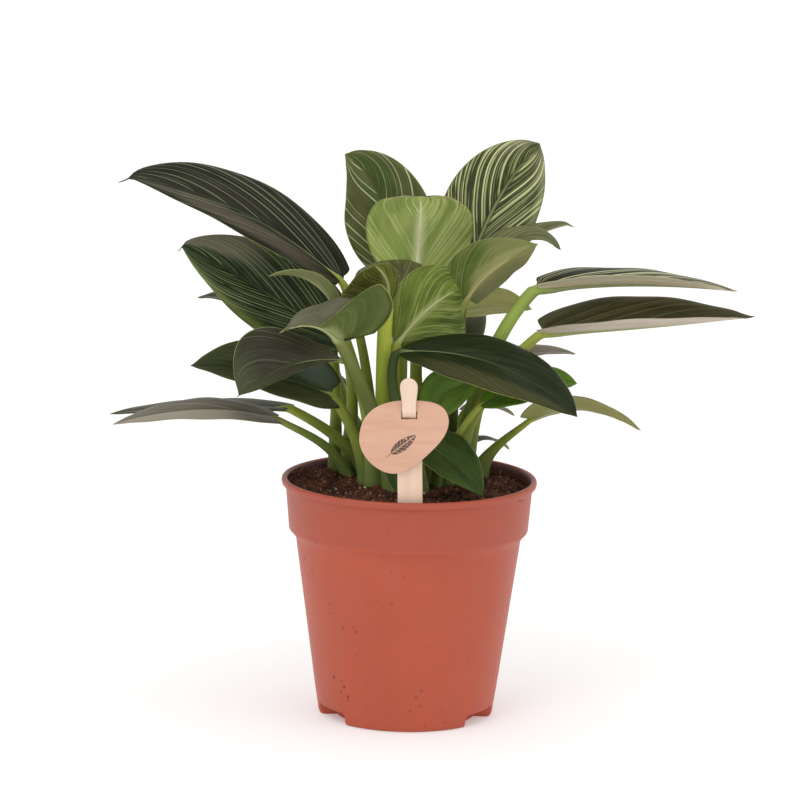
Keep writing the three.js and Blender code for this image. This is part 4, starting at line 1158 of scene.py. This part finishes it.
def leaf_finish(name, seed):
    """One leaf's material, from the plain finish and its own changes."""
    look = {**PLAIN_FINISH, **FINISHES[name]}
    material, graph = new_material(f"leaf_{name}_{seed}")
    along, across, upper, stalk = (graph.kept(title) for title in ("along", "across", "upper", "stalk"))
    out_share = abs(across)
    hand = across > 0.0
    sheet = graph.join(along, across, float(seed))
    wander = graph.noise(sheet, 2.5) - 0.5
    steep = out_share ** VEIN_BEND * (1.15 - along * VEIN_EASE)
    flow = along - VEIN_SLOPE * steep + wander * 0.02
    fade = graph.noise(graph.join(flow * 9.0, out_share * 2.2, hand * 9.0 + seed), 1.6)
    bold = vein_lines(graph, flow, hand, look["bold"], look["bold_width"] * 2, seed)
    fine = vein_lines(graph, flow, hand, look["fine"], FINE_WIDTH, seed + FINE_SHIFT)
    blur = vein_lines(graph, flow, hand, look["bold"] + 3, BLUR_WIDTH, seed) * fade.smooth(0.25, 0.6)
    free = out_share.smooth(0.02, 0.1) * along.fall(0.9, 0.98, 0.2)
    bold_mask = bold * fade.smooth(0.24, 0.42) * free * look["bold_strength"]
    fine_mask = fine * fade.smooth(0.35, 0.55) * free * look["fine_strength"]
    tone = graph.noise(sheet, 3.2, 3)
    clouded = tone.smooth(0.35, 0.65)
    # Painted sheen: cloudy spots of a paler colour over the top face, standing in for reflected white
    # light.
    painted_sheen = graph.noise(sheet, 1.7).smooth(0.45, 0.7)
    rib_line = out_share.fall(0.012, 0.05) * along.fall(0.2, 1.0, 0.3)
    top = layered(graph, look["upper"], (look["upper_two"], clouded),
                  (look["painted_sheen"], painted_sheen * look["painted_sheen_strength"]))
    top = patched(graph, top, look["patches"], along, across)
    top = layered(graph, top, (look["stripe"], bold_mask.calc("MAXIMUM", fine_mask)),
                  (look["top_rib"], rib_line * 0.8))
    low = blend(graph, look["under"], look["under_two"], clouded)
    low = patched(graph, low, look["low_patches"], along, across)
    low = layered(graph, low, (look["under_stripe"], (blur * 0.7 + fine * 0.45) * look["under_strength"]),
                  (look["rib"], out_share.fall(0.0, 0.16) * along.fall(0.35, 0.95) * 0.75))
    blade = layered(graph, blend(graph, low, top, upper),
                    (look["margin"], out_share.smooth(*MARGIN) * 0.8),
                    (look["tip"], along.smooth(look["tip_from"], look["tip_from"] + TIP_FADE)))
    fibre = graph.noise(graph.join(along * 6.0, across * 60.0, float(seed)), 1.0)
    stem = layered(
        graph, look["foot"], (look["stalk"], along.smooth(-1.0, -0.45)),
        (look["stalk_top"], along.smooth(-0.4, -0.02)), (look["rib"], along.smooth(0.0, 0.12)),
        (STALK_SPOTS, tone.smooth(0.5, 0.75) * along.fall(-1.0, -0.5) * 0.5),
        (STALK_FIBRES, fibre.smooth(0.45, 0.75) * 0.35 * (along < 0.0)))
    relief = graph.noise(graph.own_place(), 1400)
    height = (bold + fine * 0.5) * (1.0 - stalk) + relief * 0.5 + fibre * stalk
    surface(graph, {
        "Base Color": blend(graph, blade, stem, stalk),
        "Roughness": look["gloss"] + tone * 0.16 + (1.0 - upper) * 0.1,
        "Specular IOR Level": 0.15, "Normal": graph.bump(height, 0.25, 0.0004)})
    return material


print("there are", len(FINISHES), "leaf finishes")

# %% [markdown]
# The tree wants curves, not tables, so each leaf's numbers are turned into its inputs here. The pull of
# a quadratic curve is found from the middle that it has to pass through. The way that the stalk faces
# at its root is the way it faces at the blade, carried down without twisting.

# %% Grow the leaves
RIPPLE = 0.28
RIPPLE_WIDTH = 20
RISE_REACH = 0.35
SWING_REACH = 0.3
BLADE_LEAD = 0.6
NEXT_PHASE = 0.618


def leaf_inputs(leaf, material, phase):
    """The tree's inputs for one leaf."""
    base, mid, tip = (Vector(leaf[key]) for key in ("base", "mid", "tip"))
    pull = 2 * mid - (base + tip) / 2
    foot = Vector((*leaf["root"], STALK_START_Z))
    reach = (base - foot).length
    direct = (base - foot).normalized()
    lead = ((pull - base).normalized() * BLADE_LEAD + direct).normalized()
    lean = (direct + Vector((0, 0, 1))).normalized()
    rise = foot + lean * (RISE_REACH * reach) + Vector(leaf["sway"][0])
    swing = base - lead * (SWING_REACH * reach) + Vector(leaf["sway"][1])
    last, first = (base - swing).normalized(), (rise - foot).normalized()
    face_base, face_tip = (Vector(face) for face in leaf["face"])
    square = (face_base - last * face_base.dot(last)).normalized()
    left, right = ([math.radians(pair[hand]) for pair in leaf["fold"]] for hand in (0, 1))
    places = {"Base": base, "Pull": pull, "Tip": tip, "Foot": foot, "Rise": rise, "Swing": swing,
              "Hook": Vector(leaf["hook"])}
    pairs = {("Swell", "Taper"): leaf["shape"], ("Turn from", "Turn to"): leaf["turn"],
             ("Share left", "Share right"): leaf["share"], ("Fade left", "Fade right"): leaf["fade"]}
    return {
        **{title: place * MM for title, place in places.items()},
        **{title: float(value) for titles, both in pairs.items() for title, value in zip(titles, both)},
        **{title: float(leaf[title.lower()]) for title in ("Lobe", "Sheath", "Tail")},
        "Lean": first, "Face at base": face_base, "Face at tip": face_tip,
        "Face at root": last.rotation_difference(first) @ square,
        "Fold left": left, "Fold right": right, "Half width": leaf["width"] * MM,
        "Stalk radius": leaf["stalk"][0] * MM, "Root radius": leaf["stalk"][1] * MM,
        "Ripple": RIPPLE * leaf["width"] / RIPPLE_WIDTH * MM, "Phase": phase, "Material": material,
    }


leaf_faces = 0
for number, (name, own) in enumerate(LEAVES.items()):
    leaf = {**PLAIN_LEAF, **own}
    inputs = leaf_inputs(leaf, leaf_finish(leaf["finish"], number), number * NEXT_PHASE % 1)
    piece = grow(f"{name}_leaf", LEAF_TREE, inputs)
    finish_piece(piece, "leaf", f"leaf_{name}")
    leaf_faces += len(piece.data.polygons)
print("leaves have", leaf_faces, "faces")

# %% [markdown]
# The label has two pieces. The stick is a flat strip of birch whose narrow neck bends forward through a
# slit in the tag. Its section is a box with soft corners, and it is swept up a line that steps forward
# where the slit is. The tag is a thin pebble-shaped board. A filled 2-D curve with a small bevel makes
# it, with the slit as its hole.

# %% Label shape
STICK_X = 0.6
STICK_LEAN = 0.028
STICK_BACK_Y = -53.6
STICK_FRONT_Y = -58.0
STICK_HALF_WIDTH = 5.7
NECK_HALF_WIDTH = 3.15
HEAD_RADIUS = 4.0
STICK_THICKNESS = 1.3
STICK_FOOT_Z = 93.4
STICK_TURN_Z = 107.0
SHOULDER_Z = 144.0
STICK_TOP_Z = 170.8
HEAD_Z = STICK_TOP_Z - HEAD_RADIUS
BEND_LOW_Z = 150.4
BEND_HIGH_Z = 155.6
STICK_SIDES = 32
BOX_POWER = 0.3
END_THICKNESS = 0.35
STICK_LEVELS = ((95, 1.5, 37), (BEND_LOW_Z, 0.2, 27), (156, 1.0, 11))
TAG_Y = -56.2
TAG_THICKNESS = 1.5
TAG_BEVEL = 0.18
SLIT = (-3.0, 151.6, 4.2, 155.3)

PEBBLE = [
    ((-22, 143), (-22.5, 134), (-21.5, 153)), ((0, 160.2), (-15, 160), (8, 160.4)),
    ((17, 156), (14, 160), (21, 150)), ((12, 138), (17, 143), (6, 131.5)),
    ((-6, 126.2), (0, 126.5), (-13, 126)),
]


def stick_half_width(z):
    """Half the stick's width at a height, in millimetres."""
    if z > HEAD_Z:
        return math.sqrt(max(HEAD_RADIUS ** 2 - (z - HEAD_Z) ** 2, 0.0001))
    if z > SHOULDER_Z:
        return NECK_HALF_WIDTH + (HEAD_RADIUS - NECK_HALF_WIDTH) * soft_step(z, HEAD_Z - 9, HEAD_Z)
    narrowing = soft_step(z, SHOULDER_Z - 3, SHOULDER_Z)
    return STICK_HALF_WIDTH + (NECK_HALF_WIDTH - STICK_HALF_WIDTH) * narrowing


def stick_y(z):
    """How far forward the stick's middle is at a height."""
    return STICK_BACK_Y + (STICK_FRONT_Y - STICK_BACK_Y) * soft_step(z, BEND_LOW_Z, BEND_HIGH_Z)


def stick_ring(z):
    """The corners of the stick's section at a height: a box with soft corners."""
    ahead = Vector((0, stick_y(z + 0.01) - stick_y(z - 0.01), 0.02)).normalized()
    outward = Vector((0, ahead.z, -ahead.y))
    end = min(soft_step(z, STICK_FOOT_Z - 0.4, STICK_FOOT_Z + 0.4),
              1 - soft_step(z, STICK_TOP_Z - 0.3, STICK_TOP_Z + 0.2))
    width = stick_half_width(z)
    depth = STICK_THICKNESS / 2 * (END_THICKNESS + (1 - END_THICKNESS) * end)
    ring = []
    for side in range(STICK_SIDES):
        angle = 2 * math.pi * side / STICK_SIDES
        across, deep = (math.copysign(abs(way) ** BOX_POWER, way) * half
                        for way, half in ((math.cos(angle), width), (math.sin(angle), depth)))
        lean = (STICK_TURN_Z - z) * STICK_LEAN
        ring.append((Vector((STICK_X + across + lean, stick_y(z), z)) + outward * deep) * MM)
    return ring


def stick_mesh():
    """The strip, ring by ring, with a cap at each end."""
    levels = [STICK_FOOT_Z + 0.05 * step ** 2 for step in range(5)]
    levels += [start + rise * step for start, rise, count in STICK_LEVELS for step in range(count)]
    levels += [HEAD_Z + HEAD_RADIUS * math.sin(math.radians(4.5 * step)) for step in range(1, 21)]
    shell = bmesh.new()
    rings = [[shell.verts.new(corner) for corner in stick_ring(z)] for z in levels]
    skin(shell, rings, STICK_SIDES)
    for cap in (rings[0], rings[-1]):
        shell.faces.new(cap)
    return closed_mesh(shell, "label_stick")


def tag_mesh():
    """The pebble board with its slit."""
    curve = bpy.data.curves.new("tag_outline", "CURVE")
    curve.dimensions = "2D"
    curve.fill_mode = "BOTH"
    curve.resolution_u = 24
    curve.extrude = (TAG_THICKNESS / 2 - TAG_BEVEL) * MM
    curve.bevel_depth = TAG_BEVEL * MM
    curve.offset = -TAG_BEVEL * MM
    curve.bevel_resolution = 3
    rim = curve.splines.new("BEZIER")
    rim.bezier_points.add(len(PEBBLE) - 1)
    for point, (middle, before, after) in zip(rim.bezier_points, PEBBLE):
        point.handle_left_type = point.handle_right_type = "FREE"
        point.co, point.handle_left, point.handle_right = (
            (place[0] * MM, place[1] * MM, 0) for place in (middle, before, after))
    rim.use_cyclic_u = True
    x0, z0, x1, z1 = SLIT
    slit = curve.splines.new("POLY")
    slit.points.add(3)
    for point, place in zip(slit.points, ((x0, z0), (x0, z1), (x1, z1), (x1, z0))):
        point.co = (place[0] * MM, place[1] * MM, 0, 1)
    slit.use_cyclic_u = True
    board = add_object("tag_outline", curve)
    mesh = evaluated_mesh(board)
    bpy.data.objects.remove(board)
    shift = (STICK_TURN_Z - SLIT[1]) * STICK_LEAN * MM
    mesh.transform(Matrix.Translation((shift, TAG_Y * MM, 0)) @ Matrix.Rotation(math.pi / 2, 4, "X"))
    shell = bmesh.new()
    shell.from_mesh(mesh)
    bmesh.ops.remove_doubles(shell, verts=shell.verts, dist=0.01 * MM)
    return closed_mesh(shell, "label_tag")


stick = add_object("label_stick_wood", stick_mesh())
stick.data.shade_smooth()
tag = add_object("label_tag_board", tag_mesh())
print("stick has", len(stick.data.polygons), "faces, tag has", len(tag.data.polygons))

# %% [markdown]
# Both are pale wood. Long noise makes the grain, a finer noise the pores. The tag's cut edge gets a
# painted highlight on the left and painted shade on the right. The tag carries no writing, only a small
# plain leaf, drawn as an oval whose width is a function of its length, with its midrib and veins left bare.

# %% Label finish
LEAF_MARK = (-3.0, 140.0)
LEAF_MARK_LENGTH = 15.0
LEAF_MARK_WIDTH = 4.2
LEAF_MARK_TILT = math.radians(38)
MARK_STEM = (-0.16, 0.04)


def wood(name, pale, deep, grain_way):
    """Pale wood with its grain along one way, and the graph to add more to."""
    material, graph = new_material(name)
    place = graph.own_place()
    grain = graph.noise(place * grain_way, 260, 3, Distortion=0.4)
    bands = graph.noise(place * grain_way, 70)
    pores = graph.noise(place, 1500)
    colour = layered(graph, pale, (deep, grain.smooth(0.35, 0.75) * 0.7),
                     (deep, bands.smooth(0.4, 0.7) * 0.6), ("B98A68", pores.smooth(0.62, 0.75) * 0.35))
    return material, graph, place, colour, graph.bump(grain + pores * 0.6, 0.25, 0.0003)


stick_material, g, place, colour, bump = wood("birch_stick", "E9D0BC", "DBB9A0", (1, 1, 0.04))
surface(g, {"Base Color": colour, "Roughness": 0.72, "Normal": bump})

tag_material, g, place, colour, bump = wood("birch_tag", "D3A78E", "C4957C", (0.12, 1, 1))
spot = g.split(place)
facing = g.split(g.add("ShaderNodeNewGeometry", out="Normal"))
cut = abs(facing.other("Y")).fall(0.45, 0.8)
right = (spot - LEAF_MARK[0] * MM) / (LEAF_MARK_LENGTH * MM)
upward = (spot.other("Z") - LEAF_MARK[1] * MM) / (LEAF_MARK_LENGTH * MM)
run = right * math.cos(LEAF_MARK_TILT) + upward * math.sin(LEAF_MARK_TILT) + 0.5
aside = abs(upward * math.cos(LEAF_MARK_TILT) - right * math.sin(LEAF_MARK_TILT))
width = (run.calc("MAXIMUM", 0.0) ** 0.7) * ((1.0 - run).calc("MAXIMUM", 0.0) ** 0.9) * 1.9
width = width * (LEAF_MARK_WIDTH / LEAF_MARK_LENGTH)
printed = (width - aside).smooth(0.0, 0.01) * aside.smooth(0.008, 0.016)
veins = g.add("ShaderNodeMath", {"operation": "PINGPONG"}, {0: run - aside * 0.9, 1: 0.06})
stem = (0.011 - aside).smooth(0.0, 0.004) * (run > MARK_STEM[0]) * (run < MARK_STEM[1])
mark = (printed * veins.smooth(0.004, 0.01)).calc("MAXIMUM", stem) * (facing.other("Y") < -0.8)
worn = g.noise(place, 900).smooth(0.25, 0.45)
# Painted highlight on the left side of the cut edge and painted shade on the right side.
lit_and_shaded_edge = blend(g, "E8CBB0", "8A6450", facing.smooth(-0.6, 0.4))
colour = layered(g, colour, (lit_and_shaded_edge, cut), ("3A2A22", mark * worn * 0.92))
surface(g, {"Base Color": colour, "Roughness": 0.75, "Normal": bump})

for piece, material, slot, node in ((stick, stick_material, "stick", "label_stick"),
                                    (tag, tag_material, "tag", "label_tag")):
    dress(piece, material)
    finish_piece(piece, slot, node)
print("label is finished")
